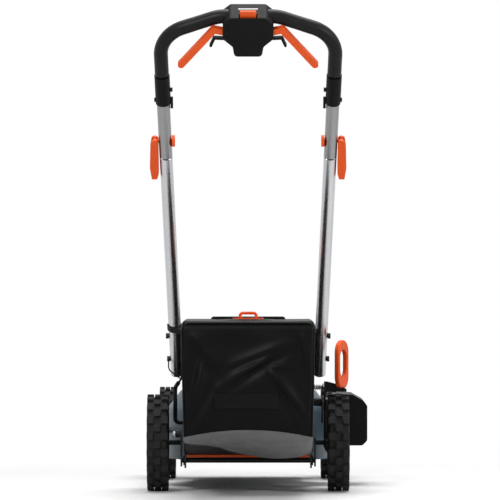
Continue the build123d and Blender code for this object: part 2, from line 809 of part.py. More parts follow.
# Motor cover: a tapered moulding with louvres on both flanks and a battery door in its top.
lid_front = CHAMBER_Y + LID_Y / 2
hinge_z = COVER_TOP_Z + HINGE_R + CLEAR
ear_half = LID_X / 2 + LID_LIP
vent_z = (DECK_TOP_Z + COVER_TOP_Z) / 2 - COVER_FILLET
with BuildPart() as motor_cover:
    with BuildSketch(plan(DECK_TOP_Z)):
        with Locations((0, CHAMBER_Y)):
            RectangleRounded(COVER_X, COVER_Y, COVER_CORNER)
    extrude(amount=COVER_TOP_Z - DECK_TOP_Z, taper=COVER_DRAFT)
    fillet(motor_cover.faces().sort_by(Axis.Z)[-1].edges(), COVER_FILLET)
    offset(amount=-COVER_WALL, openings=motor_cover.faces().sort_by(Axis.Z)[0])
    with BuildSketch(plan(COVER_TOP_Z)):
        with Locations((0, CHAMBER_Y)):
            RectangleRounded(LID_X - 2 * LID_LIP, LID_Y - 2 * LID_LIP, LID_LIP)
    extrude(amount=-2 * COVER_WALL, mode=Mode.SUBTRACT)
    with BuildSketch(side(-COVER_X)):
        with Locations((CHAMBER_Y, vent_z)):
            with GridLocations(1, 3 * COVER_WALL, 1, VENTS):
                SlotOverall(COVER_Y / 3, 1.5 * COVER_WALL)
    extrude(amount=2 * COVER_X, mode=Mode.SUBTRACT)
    with BuildSketch(side(LID_X / 2 + CLEAR)):
        with Locations((lid_front, hinge_z)):
            Circle(HINGE_R)
        with Locations((lid_front, COVER_TOP_Z)):
            Rectangle(2 * HINGE_R, HINGE_R + CLEAR, align=(Align.CENTER, Align.MIN))
        with Locations((lid_front, hinge_z)):
            Circle(TRUNNION_R + RUN_FIT, mode=Mode.SUBTRACT)
    ear = extrude(amount=LID_LIP - CLEAR)
    mirror(ear, about=MIDDLE)
save(motor_cover.part, "motor_cover")

with BuildPart() as battery_lid:
    with BuildSketch(plan(COVER_TOP_Z + CLEAR)):
        with Locations((0, CHAMBER_Y)):
            RectangleRounded(LID_X, LID_Y, LID_LIP)
    extrude(amount=LID_T)
    with BuildSketch(side(-LID_X / 2)):
        with Locations((lid_front, hinge_z)):
            Circle(HINGE_R)
    extrude(amount=LID_X)
    with BuildSketch(side(-ear_half)):
        with Locations((lid_front, hinge_z)):
            Circle(TRUNNION_R)
    extrude(amount=2 * ear_half)
save(battery_lid.part, "battery_lid")

# Side deflector: a hood over the discharge window, hung on a pin welded into a deck bracket.
ear_y = CHUTE_BARREL / 2 + CLEAR
with BuildPart() as chute_bracket:
    with BuildSketch(rear(CHAMBER_Y + ear_y + CHUTE_EAR)):
        with BuildLine():
            Polyline(
                (CROWN_R, CHUTE_BASE_Z),
                (CHAMBER_R + CHUTE_WALL, CHUTE_BASE_Z),
                (CHAMBER_R + CHUTE_WALL, CHUTE_PIN[1] - CHUTE_BARREL_R),
                (CROWN_R, CHUTE_PIN[1] - CHUTE_BARREL_R),
                close=True,
            )
        make_face()
    extrude(amount=2 * (ear_y + CHUTE_EAR))
    for near in (ear_y + CHUTE_EAR, -ear_y):
        with BuildSketch(rear(CHAMBER_Y + near)):
            with Locations(CHUTE_PIN):
                Circle(CHUTE_BARREL_R)
            with Locations((CHAMBER_R + CHUTE_WALL, CHUTE_PIN[1])):
                Rectangle(CHUTE_PIN[0] - CHAMBER_R, 2 * CHUTE_BARREL_R)
        extrude(amount=CHUTE_EAR)
    add(chamber_form(0), mode=Mode.SUBTRACT)
    with BuildSketch(rear(CHAMBER_Y + ear_y + CHUTE_EAR)):
        with Locations(CHUTE_PIN):
            Circle(CHUTE_PIN_R)
    extrude(amount=2 * (ear_y + CHUTE_EAR))
save(chute_bracket.part, "chute_bracket")


def hood_outline(inset):
    """The deflector's section seen from behind, or its inside."""
    lip = CHUTE_PIN[0] + CHUTE_BARREL_R
    hood = Polygon(
        (lip, CHUTE_FOOT_Z - inset),
        (CHUTE_REACH - 4 * CHUTE_WALL, CHUTE_FOOT_Z - inset),
        (CHUTE_REACH - inset, CHUTE_FOOT_Z + 4 * CHUTE_WALL),
        (CHUTE_REACH - inset, CHUTE_TOP_Z - 10 * CHUTE_WALL),
        (CHUTE_REACH - 3 * CHUTE_WALL - inset, CHUTE_TOP_Z - 6 * CHUTE_WALL - inset),
        (CHUTE_REACH - 12 * CHUTE_WALL, CHUTE_TOP_Z - CHUTE_WALL - inset),
        (lip, CHUTE_TOP_Z - inset),
        align=None,
    )
    fillet(hood.vertices().sort_by(Axis.X)[2:], CHUTE_CORNER - inset)


with BuildPart() as side_deflector:
    with BuildSketch(rear(CHUTE_Y[1])):
        hood_outline(0)
    extrude(amount=CHUTE_Y[1] - CHUTE_Y[0])
    with BuildSketch(rear(CHUTE_Y[1] - CHUTE_WALL)):
        hood_outline(CHUTE_WALL)
    extrude(amount=CHUTE_Y[1] - CHUTE_Y[0] - 2 * CHUTE_WALL, mode=Mode.SUBTRACT)
    with BuildSketch(rear(CHAMBER_Y + CHUTE_BARREL / 2)):
        with Locations(CHUTE_PIN):
            Circle(CHUTE_BARREL_R)
        with Locations((CHUTE_PIN[0], CHUTE_PIN[1] + CHUTE_BARREL_R)):
            Rectangle(3 * CHUTE_BARREL_R, CHUTE_WALL, align=(Align.MIN, Align.MAX))
    extrude(amount=CHUTE_BARREL)
    with BuildSketch(rear(CHAMBER_Y + CHUTE_BARREL / 2)):
        with Locations(CHUTE_PIN):
            Circle(CHUTE_PIN_R + RUN_FIT)
    extrude(amount=CHUTE_BARREL, mode=Mode.SUBTRACT)
save(side_deflector.part, "side_deflector")

# Handle brackets: steel plates on the tunnel's sides that carry the legs, the flap and the rear rod.
bracket_low = slope(TUBE_FOOT / 2, -BRACKET_W / 2)
bracket_top = BOLT_STEP + BRACKET_W / 2
with BuildPart() as handle_brackets:
    with BuildSketch(side(BODY_HALF)):
        with BuildLine():
            Polyline(
                (-CRANK_RUN - BRACKET_W / 2, ROD_Z - 3 * ROD_R),
                (-CRANK_RUN + BRACKET_W / 2, ROD_Z - 3 * ROD_R),
                (bracket_low[0] - BRACKET_W / 2, BODY_Z + BRACKET_W),
                (bracket_low[0], DECK_TOP_Z),
                bracket_low,
                slope(bracket_top, -BRACKET_W / 2),
                slope(bracket_top, BRACKET_W / 2),
                (FLAP_ROD[0] - BRACKET_W / 2, FLAP_ROD[1] + BRACKET_W),
                close=True,
            )
        plate = make_face()
        fillet(plate.vertices(), BRACKET_W / 5)
        for hole, radius in (
            ((-CRANK_RUN, ROD_Z), bush_r),
            (FLAP_ROD, FLAP_ROD_R + RUN_FIT),
            (slope(0, 0), BOLT_R),
            (slope(BOLT_STEP, 0), BOLT_R),
        ):
            with Locations(hole):
                Circle(radius, mode=Mode.SUBTRACT)
    extrude(amount=BRACKET_T)
    mirror(about=MIDDLE)
save(handle_brackets.part, "handle_brackets")

# Lower legs: straight tubes, bolted at the foot, each with a flat tongue at the fold.
for hand_name, hand in HANDS:
    with BuildPart() as lower_tube:
        with BuildSketch(leg_plane(hand, TUBE_FOOT)):
            Circle(TUBE_R)
            Circle(TUBE_R - TUBE_WALL, mode=Mode.SUBTRACT)
        extrude(amount=FOLD_V - FOLD_REACH - TUBE_FOOT)
        with BuildSketch(leg_plane(hand, FOLD_V - 2 * FOLD_REACH)):
            Circle(TUBE_R)
        extrude(amount=FOLD_REACH)
        with BuildSketch(leg_side(hand, FOLD_V)):
            Circle(TONGUE_DEPTH)
            with Locations((-FOLD_REACH / 2, 0)):
                Rectangle(FOLD_REACH + 2 * CLEAR, 2 * TONGUE_DEPTH)
            Circle(BOLT_R, mode=Mode.SUBTRACT)
        extrude(amount=TONGUE_HALF, both=True)
        for v in (0, BOLT_STEP):
            with BuildSketch(leg_side(hand, v)):
                Circle(BOLT_R)
            extrude(amount=2 * TUBE_R, both=True, mode=Mode.SUBTRACT)
    save(lower_tube.part, f"lower_tube_{hand_name}")

# Moulded saddles between brackets and legs, the through bolts, and the plugs in the legs' feet.
saddle_v = (-BRACKET_W / 2, BOLT_STEP + BRACKET_W / 2)
saddle_n = 0.75 * TUBE_R
saddle_lip = sqrt(TUBE_R**2 - saddle_n**2)
with BuildPart() as tube_saddles:
    with BuildSketch(HANDLE.offset(-saddle_n)):
        with BuildLine():
            Polyline(
                (BODY_HALF + BRACKET_T, saddle_v[0]),
                (leg_half(saddle_v[0]) - saddle_lip, saddle_v[0]),
                (leg_half(saddle_v[1]) - saddle_lip, saddle_v[1]),
                (BODY_HALF + BRACKET_T, saddle_v[1]),
                close=True,
            )
        make_face()
    extrude(amount=2 * saddle_n)
    with BuildSketch(leg_plane(1, TUBE_FOOT)):
        Circle(TUBE_R)
    extrude(amount=FOLD_V, mode=Mode.SUBTRACT)
    for v in (0, BOLT_STEP):
        with BuildSketch(leg_side(1, v)):
            Circle(BOLT_R)
        extrude(amount=-2 * TUBE_R, mode=Mode.SUBTRACT)
    mirror(about=MIDDLE)
save(tube_saddles.part, "tube_saddles")

head_off = TUBE_R + HEAD_R * LEG_SPREAD
with BuildPart() as tube_bolts:
    for v in (0, BOLT_STEP):
        with BuildSketch(leg_side(1, v, head_off)):
            RegularPolygon(HEAD_R, 6)
        extrude(amount=HEAD_T)
        with BuildSketch(leg_side(1, v, head_off)):
            Circle(BOLT_R)
        extrude(amount=BODY_HALF - leg_half(v) - head_off - HEAD_T)
        with BuildSketch(leg_side(1, v, BODY_HALF - leg_half(v))):
            RegularPolygon(HEAD_R, 6)
        extrude(amount=-HEAD_T)
    mirror(about=MIDDLE)
save(tube_bolts.part, "tube_bolts")

with BuildPart() as tube_end_plugs:
    with BuildSketch(leg_plane(1, TUBE_FOOT)):
        Circle(TUBE_R)
    extrude(amount=-PLUG_T)
    fillet(tube_end_plugs.edges().group_by(Axis.Z)[0], PLUG_T / 2)
    with BuildSketch(leg_plane(1, TUBE_FOOT)):
        Circle(TUBE_R - TUBE_WALL)
    extrude(amount=4 * PLUG_T)
    mirror(about=MIDDLE)
save(tube_end_plugs.part, "tube_end_plugs")

# Upper legs: each tube's foot is a channel, open in front, that folds forward about the tongue.
leg_scale = hypot(1, LEG_SPREAD)
for hand_name, hand in HANDS:
    with BuildPart() as upper_leg:
        with BuildSketch(leg_plane(hand, FOLD_V - FOLD_TAIL)):
            Circle(TUBE_R)
            Circle(TUBE_R - TUBE_WALL, mode=Mode.SUBTRACT)
        extrude(amount=(LEG_TOP - FOLD_V + FOLD_TAIL) * leg_scale)
        with BuildSketch(leg_side(hand, FOLD_V)):
            with Locations((SLOT_UP / 2 - FOLD_TAIL / 2, -TUBE_R)):
                Rectangle(SLOT_UP + FOLD_TAIL + 2 * CLEAR, 2 * TUBE_R)
        extrude(amount=SLOT_HALF, both=True, mode=Mode.SUBTRACT)
        with BuildSketch(leg_side(hand, FOLD_V)):
            with Locations((-FOLD_TAIL / 2 - TUBE_WALL, 0)):
                Rectangle(FOLD_TAIL, 4 * TUBE_R)
            Circle(FOLD_TAIL, mode=Mode.SUBTRACT)
        extrude(amount=2 * TUBE_R, both=True, mode=Mode.SUBTRACT)
        with BuildSketch(leg_side(hand, FOLD_V)):
            Circle(BOLT_R + RUN_FIT)
        extrude(amount=2 * TUBE_R, both=True, mode=Mode.SUBTRACT)
    save(upper_leg.part, f"upper_leg_{hand_name}")

# Fold bolts: a round knob inside, a shank through the leg and a cross eye for the cam lever.
with BuildPart() as fold_bolts:
    knob_in = -TUBE_R - CLEAR
    with BuildSketch(leg_side(1, FOLD_V, knob_in)):
        Circle(KNOB_R)
    extrude(amount=-KNOB_T)
    fillet(fold_bolts.edges().group_by(Axis.X)[0], KNOB_T / 4)
    with BuildSketch(leg_side(1, FOLD_V, knob_in)):
        Circle(BOLT_R)
    extrude(amount=CAM_OUT - knob_in)
    cam_spot = (leg_half(FOLD_V) + CAM_OUT, FOLD_V)
    with BuildSketch(HANDLE):
        with Locations(cam_spot):
            Circle(1.5 * BOLT_R)
    extrude(amount=EYE_W / 2, both=True)
    with BuildSketch(HANDLE):
        with Locations(cam_spot):
            Circle(CAM_PIN_R)
    extrude(amount=CAM_W / 2, both=True)
    mirror(about=MIDDLE)
save(fold_bolts.part, "fold_bolts")

# Cam levers: forked quick-release paddles that lie along the legs.
for hand_name, hand in HANDS:
    with BuildPart() as cam_lever:
        out = leg_half(FOLD_V) + CAM_OUT
        with BuildSketch(HANDLE):
            with Locations((hand * out, FOLD_V)):
                Circle(CAM_R)
            with BuildLine():
                Polyline(
                    (hand * (out - CAM_R), FOLD_V),
                    (hand * (out + CAM_R), FOLD_V),
                    (hand * (out + 1.3 * CAM_R), FOLD_V - 2 * CAM_R),
                    (hand * (out + 1.5 * CAM_R), FOLD_V - CAM_LENGTH + 4 * CAM_R),
                    (hand * (out + CAM_R), FOLD_V - CAM_LENGTH),
                    (hand * (out - CAM_R / 2), FOLD_V - CAM_LENGTH),
                    (hand * (out - CAM_R), FOLD_V - CAM_LENGTH + 2 * CAM_R),
                    close=True,
                )
            make_face()
        extrude(amount=CAM_W / 2, both=True)
        with BuildSketch(HANDLE):
            with Locations((hand * out, FOLD_V)):
                Rectangle(6 * CAM_R, 4 * CAM_R)
        extrude(amount=EYE_W / 2 + CLEAR, both=True, mode=Mode.SUBTRACT)
        with BuildSketch(HANDLE):
            with Locations((hand * out, FOLD_V)):
                Circle(CAM_PIN_R + RUN_FIT)
        extrude(amount=CAM_W, both=True, mode=Mode.SUBTRACT)
    save(cam_lever.part, f"cam_lever_{hand_name}")

# Couplers: black sleeves over the upper legs and the feet of the bar, each with a clamp.
with BuildPart() as handle_sleeves:
    with BuildSketch(leg_plane(1, SLEEVE_V[0])):
        Circle(SLEEVE_R)
    extrude(amount=(SLEEVE_V[1] - SLEEVE_V[0]) * leg_scale)
    with BuildSketch(leg_plane(1, SLEEVE_V[0])):
        Circle(TUBE_R)
    extrude(amount=(LEG_TOP - SLEEVE_V[0]) * leg_scale, mode=Mode.SUBTRACT)
    with BuildSketch(leg_plane(1, SLEEVE_V[0])):
        Circle(BAR_R)
    extrude(amount=(SLEEVE_V[1] - SLEEVE_V[0]) * leg_scale, mode=Mode.SUBTRACT)
    mirror(about=MIDDLE)
save(handle_sleeves.part, "handle_sleeves")

with BuildPart() as sleeve_clamps:
    with BuildSketch(leg_side(1, CLAMP_V, SLEEVE_R - 1)):
        Circle(BOLT_R + 1)
    extrude(amount=BOLT_R)
    with BuildSketch(leg_side(1, CLAMP_V, 1 - SLEEVE_R)):
        SlotCenterPoint((0, 0), (BOLT_R, 0), 2 * BOLT_R)
        with Locations((-2 * BOLT_R, 0)):
            SlotOverall(8 * BOLT_R, 2.5 * BOLT_R)
    extrude(amount=-1.5 * BOLT_R)
    with BuildSketch(leg_side(1, NUB_V, 1 - SLEEVE_R)):
        Circle(BOLT_R + 1)
    extrude(amount=-1.5 * BOLT_R)
    add(handle_sleeves.part, mode=Mode.SUBTRACT)
    mirror(about=MIDDLE)
save(sleeve_clamps.part, "sleeve_clamps")

# Bar: one bent tube from coupler to coupler, with a foam grip on each side of the console.
bar_right = (
    (leg_half(BAR_FOOT), BAR_FOOT),
    (leg_half(CORNER_V), CORNER_V),
    (CROSS_HALF, CROSS_V),
)
with BuildPart() as handle_bar:
    with BuildLine(HANDLE) as bar_line:
        bar_left = [(-u, v) for u, v in reversed(bar_right)]
        FilletPolyline(*bar_right, *bar_left, radius=BEND_R)
    with BuildSketch(Plane(origin=bar_line.line @ 0, z_dir=bar_line.line % 0)):
        Circle(BAR_R)
        Circle(BAR_R - BAR_WALL, mode=Mode.SUBTRACT)
    sweep(path=bar_line.line)
save(handle_bar.part, "handle_bar")

grip_end = ARCH_HALF + CLEAR
with BuildPart() as handle_grips:
    with BuildLine(HANDLE) as grip_line:
        FilletPolyline(
            (leg_half(SLEEVE_V[1]), SLEEVE_V[1]),
            bar_right[1],
            bar_right[2],
            (grip_end, CROSS_V),
            radius=BEND_R,
        )
    with BuildSketch(Plane(origin=grip_line.line @ 0, z_dir=grip_line.line % 0)):
        Circle(GRIP_R)
        Circle(BAR_R, mode=Mode.SUBTRACT)
    sweep(path=grip_line.line)
    mirror(about=MIDDLE)
save(handle_grips.part, "handle_grips")


# Console: two moulded halves clamped round the bar, with a see-through slot under the top rim.
def cross_plane(u):
    """Plane square to the bar's level run: local x is up the handle, y is rearward."""
    spot = HANDLE.from_local_coords(Vector(u, CROSS_V, 0))
    return Plane(origin=spot, x_dir=HANDLE.y_dir, z_dir=(1, 0, 0))


def console_block(depth):
    """One half of the console on the handle's plane, without its pockets."""
    half = (
        (ARCH_HALF, CONSOLE_V[1]),
        (SHOULDER_HALF, SHOULDER_V[1]),
        (SHOULDER_HALF, SHOULDER_V[0]),
        (WAIST_HALF, WAIST_V),
        (TOE_HALF, CONSOLE_V[0]),
    )
    with BuildPart() as block:
        with BuildSketch(HANDLE):
            with BuildLine():
                Polyline(*half, *[(-u, v) for u, v in reversed(half)], close=True)
            outline = make_face()
            fillet(outline.vertices(), CONSOLE_CORNER)
        extrude(amount=depth)
        outer = block.faces().sort_by(Axis(HANDLE.origin, HANDLE.z_dir * depth))[-1]
        fillet(outer.edges(), CONSOLE_FILLET)
        with BuildSketch(cross_plane(-SHOULDER_HALF)):
            Circle(BAR_R)
        extrude(amount=2 * SHOULDER_HALF, mode=Mode.SUBTRACT)
        with BuildSketch(cross_plane(ARCH_HALF)):
            Circle(GRIP_R + CLEAR)
        relief = extrude(amount=SHOULDER_HALF, mode=Mode.SUBTRACT)
        mirror(relief, about=MIDDLE, mode=Mode.SUBTRACT)
    return block.part


with BuildPart() as console_front:
    add(console_block(-CONSOLE_FRONT))
    bar_y, bar_z = slope(CROSS_V, 0)
    with BuildSketch(rear(bar_y + 2 * CONSOLE_FRONT)):
        with Locations((0, bar_z + BAR_R + VIEW_RISE)):
            Rectangle(2 * VIEW_HALF, VIEW_H, align=(Align.CENTER, Align.MIN))
    extrude(amount=4 * CONSOLE_FRONT, mode=Mode.SUBTRACT)
save(console_front.part, "console_front")

paddle_foot = PADDLE_V[0] - PADDLE_T
with BuildPart() as console_rear:
    add(console_block(CONSOLE_REAR))
    for hand in (-1, 1):
        with BuildSketch(HANDLE.offset(BAIL_N[0] - LEVER_GAP)):
            with Locations((hand * POCKET_U, POCKET_V[0])):
                corner = (Align.MIN if hand > 0 else Align.MAX, Align.MIN)
                Rectangle(SHOULDER_HALF - POCKET_U + CLEAR, POCKET_V[1] - POCKET_V[0], align=corner)
        extrude(amount=BAIL_N[1] - BAIL_N[0] + 2 * LEVER_GAP, mode=Mode.SUBTRACT)
        with BuildSketch(HANDLE.offset(PIN_N[0])):
            for pivot in (BAIL_PIVOT, LOCK_PIVOT):
                with Locations((hand * pivot[0], CROSS_V + pivot[1])):
                    Circle(PIVOT_R)
        extrude(amount=PIN_N[1] - PIN_N[0], mode=Mode.SUBTRACT)
    with BuildSketch(HANDLE.offset(PADDLE_N - PADDLE_T / 2 - PADDLE_SWAY)):
        with Locations((0, paddle_foot)):
            pocket_half = PADDLE_HALF + PADDLE_GAP
            Rectangle(2 * pocket_half, CONSOLE_V[1] - paddle_foot, align=(Align.CENTER, Align.MIN))
    extrude(amount=PADDLE_T + 2 * PADDLE_SWAY, mode=Mode.SUBTRACT)
    with BuildSketch(cross_plane(-PADDLE_HALF - TRUNNION_L)):
        with Locations((PADDLE_V[0] - CROSS_V, PADDLE_N)):
            Circle(TRUNNION_R + RUN_FIT)
    extrude(amount=2 * (PADDLE_HALF + TRUNNION_L), mode=Mode.SUBTRACT)
save(console_rear.part, "console_rear")

with BuildPart() as lever_pins:
    for pivot in (BAIL_PIVOT, LOCK_PIVOT):
        with BuildSketch(HANDLE.offset(PIN_N[0])):
            with Locations((pivot[0], CROSS_V + pivot[1])):
                Circle(PIVOT_R)
        extrude(amount=PIN_N[1] - PIN_N[0])
    mirror(about=MIDDLE)
save(lever_pins.part, "lever_pins")


# Bail levers, with a short lock lever under each, and the paddle in the console's window.
def strip(start, end, width):
    """Round-ended strip between two points of the handle's plane."""
    run = Vector(*end) - Vector(*start)
    with Locations(Vector(*start) + run / 2):
        SlotCenterToCenter(run.length, width, rotation=degrees(atan2(run.Y, run.X)))


def make_lever(hand, span, points, width, root_r):
    """A flat bent lever on its pin, between two heights behind the handle's plane."""
    spots = [(hand * u, CROSS_V + v) for u, v in points]
    with BuildPart() as lever:
        with BuildSketch(HANDLE.offset(span[0])):
            strip(spots[0], spots[1], width)
            strip(spots[1], spots[2], width)
            with Locations(spots[0]):
                Circle(root_r)
                Circle(PIVOT_R + RUN_FIT, mode=Mode.SUBTRACT)
        extrude(amount=span[1] - span[0])
    return lever.part


for hand_name, hand in HANDS:
    bail_points = (BAIL_PIVOT, BAIL_KNEE, BAIL_TIP)
    lock_points = (LOCK_PIVOT, LOCK_KNEE, LOCK_TIP)
    bail = make_lever(hand, BAIL_N, bail_points, BAIL_W, BAIL_W / 2 + CLEAR)
    lock = make_lever(hand, LOCK_N, lock_points, LOCK_W, LOCK_W - CLEAR)
    save(bail, f"bail_{hand_name}")
    save(lock, f"lock_lever_{hand_name}")

with BuildPart() as speed_paddle:
    with BuildSketch(cross_plane(-PADDLE_HALF)):
        with Locations((PADDLE_V[0] - CROSS_V, PADDLE_N)):
            Circle(PADDLE_T / 2)
        with Locations(((PADDLE_V[0] + PADDLE_V[1]) / 2 - CROSS_V, PADDLE_N)):
            Rectangle(PADDLE_V[1] - PADDLE_V[0], PADDLE_T)
    extrude(amount=2 * PADDLE_HALF)
    fillet(speed_paddle.edges().filter_by(Axis.X).group_by(Axis.Z)[-1], PADDLE_T / 4)
    trunnion_half = PADDLE_HALF + TRUNNION_L - CLEAR
    with BuildSketch(cross_plane(-trunnion_half)):
        with Locations((PADDLE_V[0] - CROSS_V, PADDLE_N)):
            Circle(TRUNNION_R)
    extrude(amount=2 * trunnion_half)
save(speed_paddle.part, "speed_paddle")

# Rear flap on its rod, which turns in the handle brackets, with a torsion spring at its right end.
pitch_cos = cos(radians(FLAP_PITCH))
pitch_sin = sin(radians(FLAP_PITCH))
flap_plane = Plane(
    origin=(MID_X, REAR_Y + FLAP_ROD[0], FLAP_ROD[1]),
    x_dir=(1, 0, 0),
    z_dir=(0, -pitch_sin, -pitch_cos),
)
with BuildPart() as rear_flap:
    with BuildSketch(flap_plane.offset(-FLAP_T / 2)):
        with BuildLine():
            Polyline(
                (-FLAP_HALF, 0),
                (FLAP_HALF, 0),
                (FLAP_HALF, FLAP_SQUARE),
                (FLAP_END_HALF, FLAP_LENGTH),
                (-FLAP_END_HALF, FLAP_LENGTH),
                (-FLAP_HALF, FLAP_SQUARE),
                close=True,
            )
        plate = make_face()
        fillet(plate.vertices().group_by(Axis.Y)[-1], FLAP_BARREL_R)
    extrude(amount=FLAP_T)
    with BuildSketch(flap_plane.offset(-FLAP_T / 2)):
        for rib in (-1, 0, 1):
            with Locations((rib * FLAP_END_HALF * 0.75, FLAP_LENGTH / 2)):
                Rectangle(2 * FLAP_T, FLAP_LENGTH - 4 * FLAP_T)
    extrude(amount=-2 * FLAP_T)
    with BuildSketch(side(-FLAP_HALF)):
        with Locations(FLAP_ROD):
            Circle(FLAP_BARREL_R)
    extrude(amount=2 * FLAP_HALF)
    with BuildSketch(side(-FLAP_HALF)):
        with Locations(FLAP_ROD):
            Circle(FLAP_ROD_R)
    extrude(amount=2 * FLAP_HALF, mode=Mode.SUBTRACT)
save(rear_flap.part, "rear_flap")

spring_pitch = SPRING_PITCH * 2 * SPRING_WIRE_R
spring_start = BRACKET_OUT + SPRING_WIRE_R + LEVER_GAP
spring_end = spring_start + SPRING_TURNS * spring_pitch
collar_in = spring_end + SPRING_WIRE_R + LEVER_GAP
with BuildPart() as flap_rod:
    with BuildSketch(side(-BRACKET_OUT - FLAP_ROD_R)):
        with Locations(FLAP_ROD):
            Circle(FLAP_ROD_R)
    extrude(amount=BRACKET_OUT + FLAP_ROD_R + collar_in + COLLAR_T)
    with BuildSketch(side(collar_in)):
        with Locations(FLAP_ROD):
            Circle(COLLAR_R)
    extrude(amount=COLLAR_T)
save(flap_rod.part, "flap_rod")

coil_r = FLAP_ROD_R + SPRING_GAP + SPRING_WIRE_R


def coil_point(turn):
    """Point of the spring's centre line after some turns, and the direction of the wire there."""
    angle = radians(360 * turn)
    spot = Vector(
        MID_X + spring_start + spring_pitch * turn,
        REAR_Y + FLAP_ROD[0] + coil_r * cos(angle),
        FLAP_ROD[1] + coil_r * sin(angle),
    )
    rise = spring_pitch / radians(360)
    return spot, Vector(rise, -coil_r * sin(angle), coil_r * cos(angle)).normalized()


with BuildPart() as flap_spring:
    with BuildLine() as coil_line:
        for quarter in range(4 * SPRING_TURNS):
            start, start_dir = coil_point(quarter / 4)
            stop, stop_dir = coil_point((quarter + 1) / 4)
            chord = stop - start
            both = start_dir + stop_dir
            lean = chord.dot(both)
            flat = 4 - both.dot(both)
            arm = (sqrt(lean**2 + flat * chord.dot(chord)) - lean) / flat
            joint = (start + start_dir * arm + stop - stop_dir * arm) / 2
            first = TangentArc(start, joint, tangent=start_dir)
            TangentArc(joint, stop, tangent=first % 1)
    with BuildSketch(Plane(origin=coil_line.line @ 0, z_dir=coil_line.line % 0)):
        Circle(SPRING_WIRE_R)
    sweep(path=coil_line.line)
save(flap_spring.part, "flap_spring")
coil_spots = [coil_point(step / 24)[0] for step in range(24 * SPRING_TURNS + 1)]
coil_gap = min(
    (near - far).length - 2 * SPRING_WIRE_R
    for index, near in enumerate(coil_spots)
    for far in coil_spots[index + 12:]
)
print(f"flap spring: least gap between turns {coil_gap:.2f} mm")

# Grass bag: cloth walls on a stiff front frame whose two hooks hang on the flap's rod, a mesh floor
# and a carrying loop on top.
bag_slope = BAG_GAP + FLAP_T / 2


def bag_lines(inset):
    """The bag's four upper corners seen from the side, set in by some amount."""
    front = BAG_FRONT - inset
    top = BAG_TOP_Z - inset
    off = bag_slope + inset
    near = (FLAP_ROD[0] - off * pitch_sin - front) / pitch_cos
    far = (top - FLAP_ROD[1] + off * pitch_cos) / pitch_sin
    return (
        (front, FLAP_ROD[1] - off * pitch_cos + near * pitch_sin),
        (FLAP_ROD[0] - off * pitch_sin - far * pitch_cos, top),
        (BAG_REAR + inset, top),
    )


def bag_foot(forward):
    """Height of the bag's sloping underside at a distance forward of the rear axle."""
    return BAG_FOOT_Z + (BAG_REAR_Z - BAG_FOOT_Z) * (BAG_FRONT - forward) / (BAG_FRONT - BAG_REAR)


def bag_form(inset, drop):
    """The bag's outer form, or its inner one running down past the floor."""
    with BuildPart() as form:
        with BuildSketch(side(inset - BAG_HALF)):
            with BuildLine():
                upper = bag_lines(inset)
                rear_foot = (BAG_REAR + inset, bag_foot(BAG_REAR + inset) - drop)
                front_foot = (BAG_FRONT - inset, bag_foot(BAG_FRONT - inset) - drop)
                Polyline(*upper, rear_foot, front_foot, close=True)
            profile = make_face()
            fillet(profile.vertices().group_by(Axis.Y)[-1], BAG_CORNER - inset)
        extrude(amount=2 * (BAG_HALF - inset))
        back = form.edges().filter_by(Axis.Z).group_by(Axis.Y)[0]
        roof = form.edges().filter_by(Axis.Y).group_by(Axis.Z)[-1]
        fillet(back + roof, BAG_EDGE - inset)
    return form.part


frame_back = BAG_FRONT - BAG_WALL - FRAME_T
floor_t = BAG_WALL
hook_foot = FLAP_ROD[1] + FLAP_ROD_R + LEVER_GAP
hook_mid = (HOOK_X[0] + HOOK_X[1]) / 2
with BuildPart() as bag_shell:
    add(bag_form(0, 0))
    add(bag_form(BAG_WALL, 4 * BAG_WALL), mode=Mode.SUBTRACT)
    with BuildSketch(rear(BAG_FRONT + CLEAR)):
        with Locations((0, (BAG_MOUTH[1] + BAG_MOUTH[2]) / 2)):
            Rectangle(2 * BAG_MOUTH[0], BAG_MOUTH[2] - BAG_MOUTH[1])
        with Locations((-hook_mid, hook_foot), (hook_mid, hook_foot)):
            Rectangle(HOOK_X[1] - HOOK_X[0], HOOK_H, align=(Align.CENTER, Align.MIN))
    extrude(amount=BAG_WALL + 2 * CLEAR, mode=Mode.SUBTRACT)
save(bag_shell.part, "bag_shell")

with BuildPart() as bag_floor:
    with BuildSketch(side(BAG_WALL - BAG_HALF)):
        with BuildLine():
            front = BAG_FRONT - BAG_WALL
            back = BAG_REAR + BAG_WALL
            Polyline(
                (front, bag_foot(front)),
                (front, bag_foot(front) + floor_t),
                (back, bag_foot(back) + floor_t),
                (back, bag_foot(back)),
                close=True,
            )
        make_face()
    extrude(amount=2 * (BAG_HALF - BAG_WALL))
    add(bag_form(BAG_WALL, 4 * BAG_WALL), mode=Mode.INTERSECT)
save(bag_floor.part, "bag_floor")

frame_foot = bag_foot(frame_back) + floor_t
frame_top = hook_foot + HOOK_H
with BuildPart() as bag_frame:
    with BuildSketch(rear(BAG_FRONT - BAG_WALL)):
        with Locations((0, (frame_foot + frame_top) / 2)):
            Rectangle(2 * (BAG_HALF - BAG_WALL), frame_top - frame_foot)
        with Locations((0, (BAG_MOUTH[1] + BAG_MOUTH[2]) / 2)):
            Rectangle(2 * BAG_MOUTH[0], BAG_MOUTH[2] - BAG_MOUTH[1], mode=Mode.SUBTRACT)
    extrude(amount=FRAME_T)
    with BuildSketch(rear(FLAP_ROD[0] + HOOK_REACH)):
        with Locations((-hook_mid, hook_foot), (hook_mid, hook_foot)):
            Rectangle(HOOK_X[1] - HOOK_X[0], HOOK_H, align=(Align.CENTER, Align.MIN))
    extrude(amount=FLAP_ROD[0] + HOOK_REACH - BAG_FRONT + BAG_WALL)
save(bag_frame.part, "bag_frame")

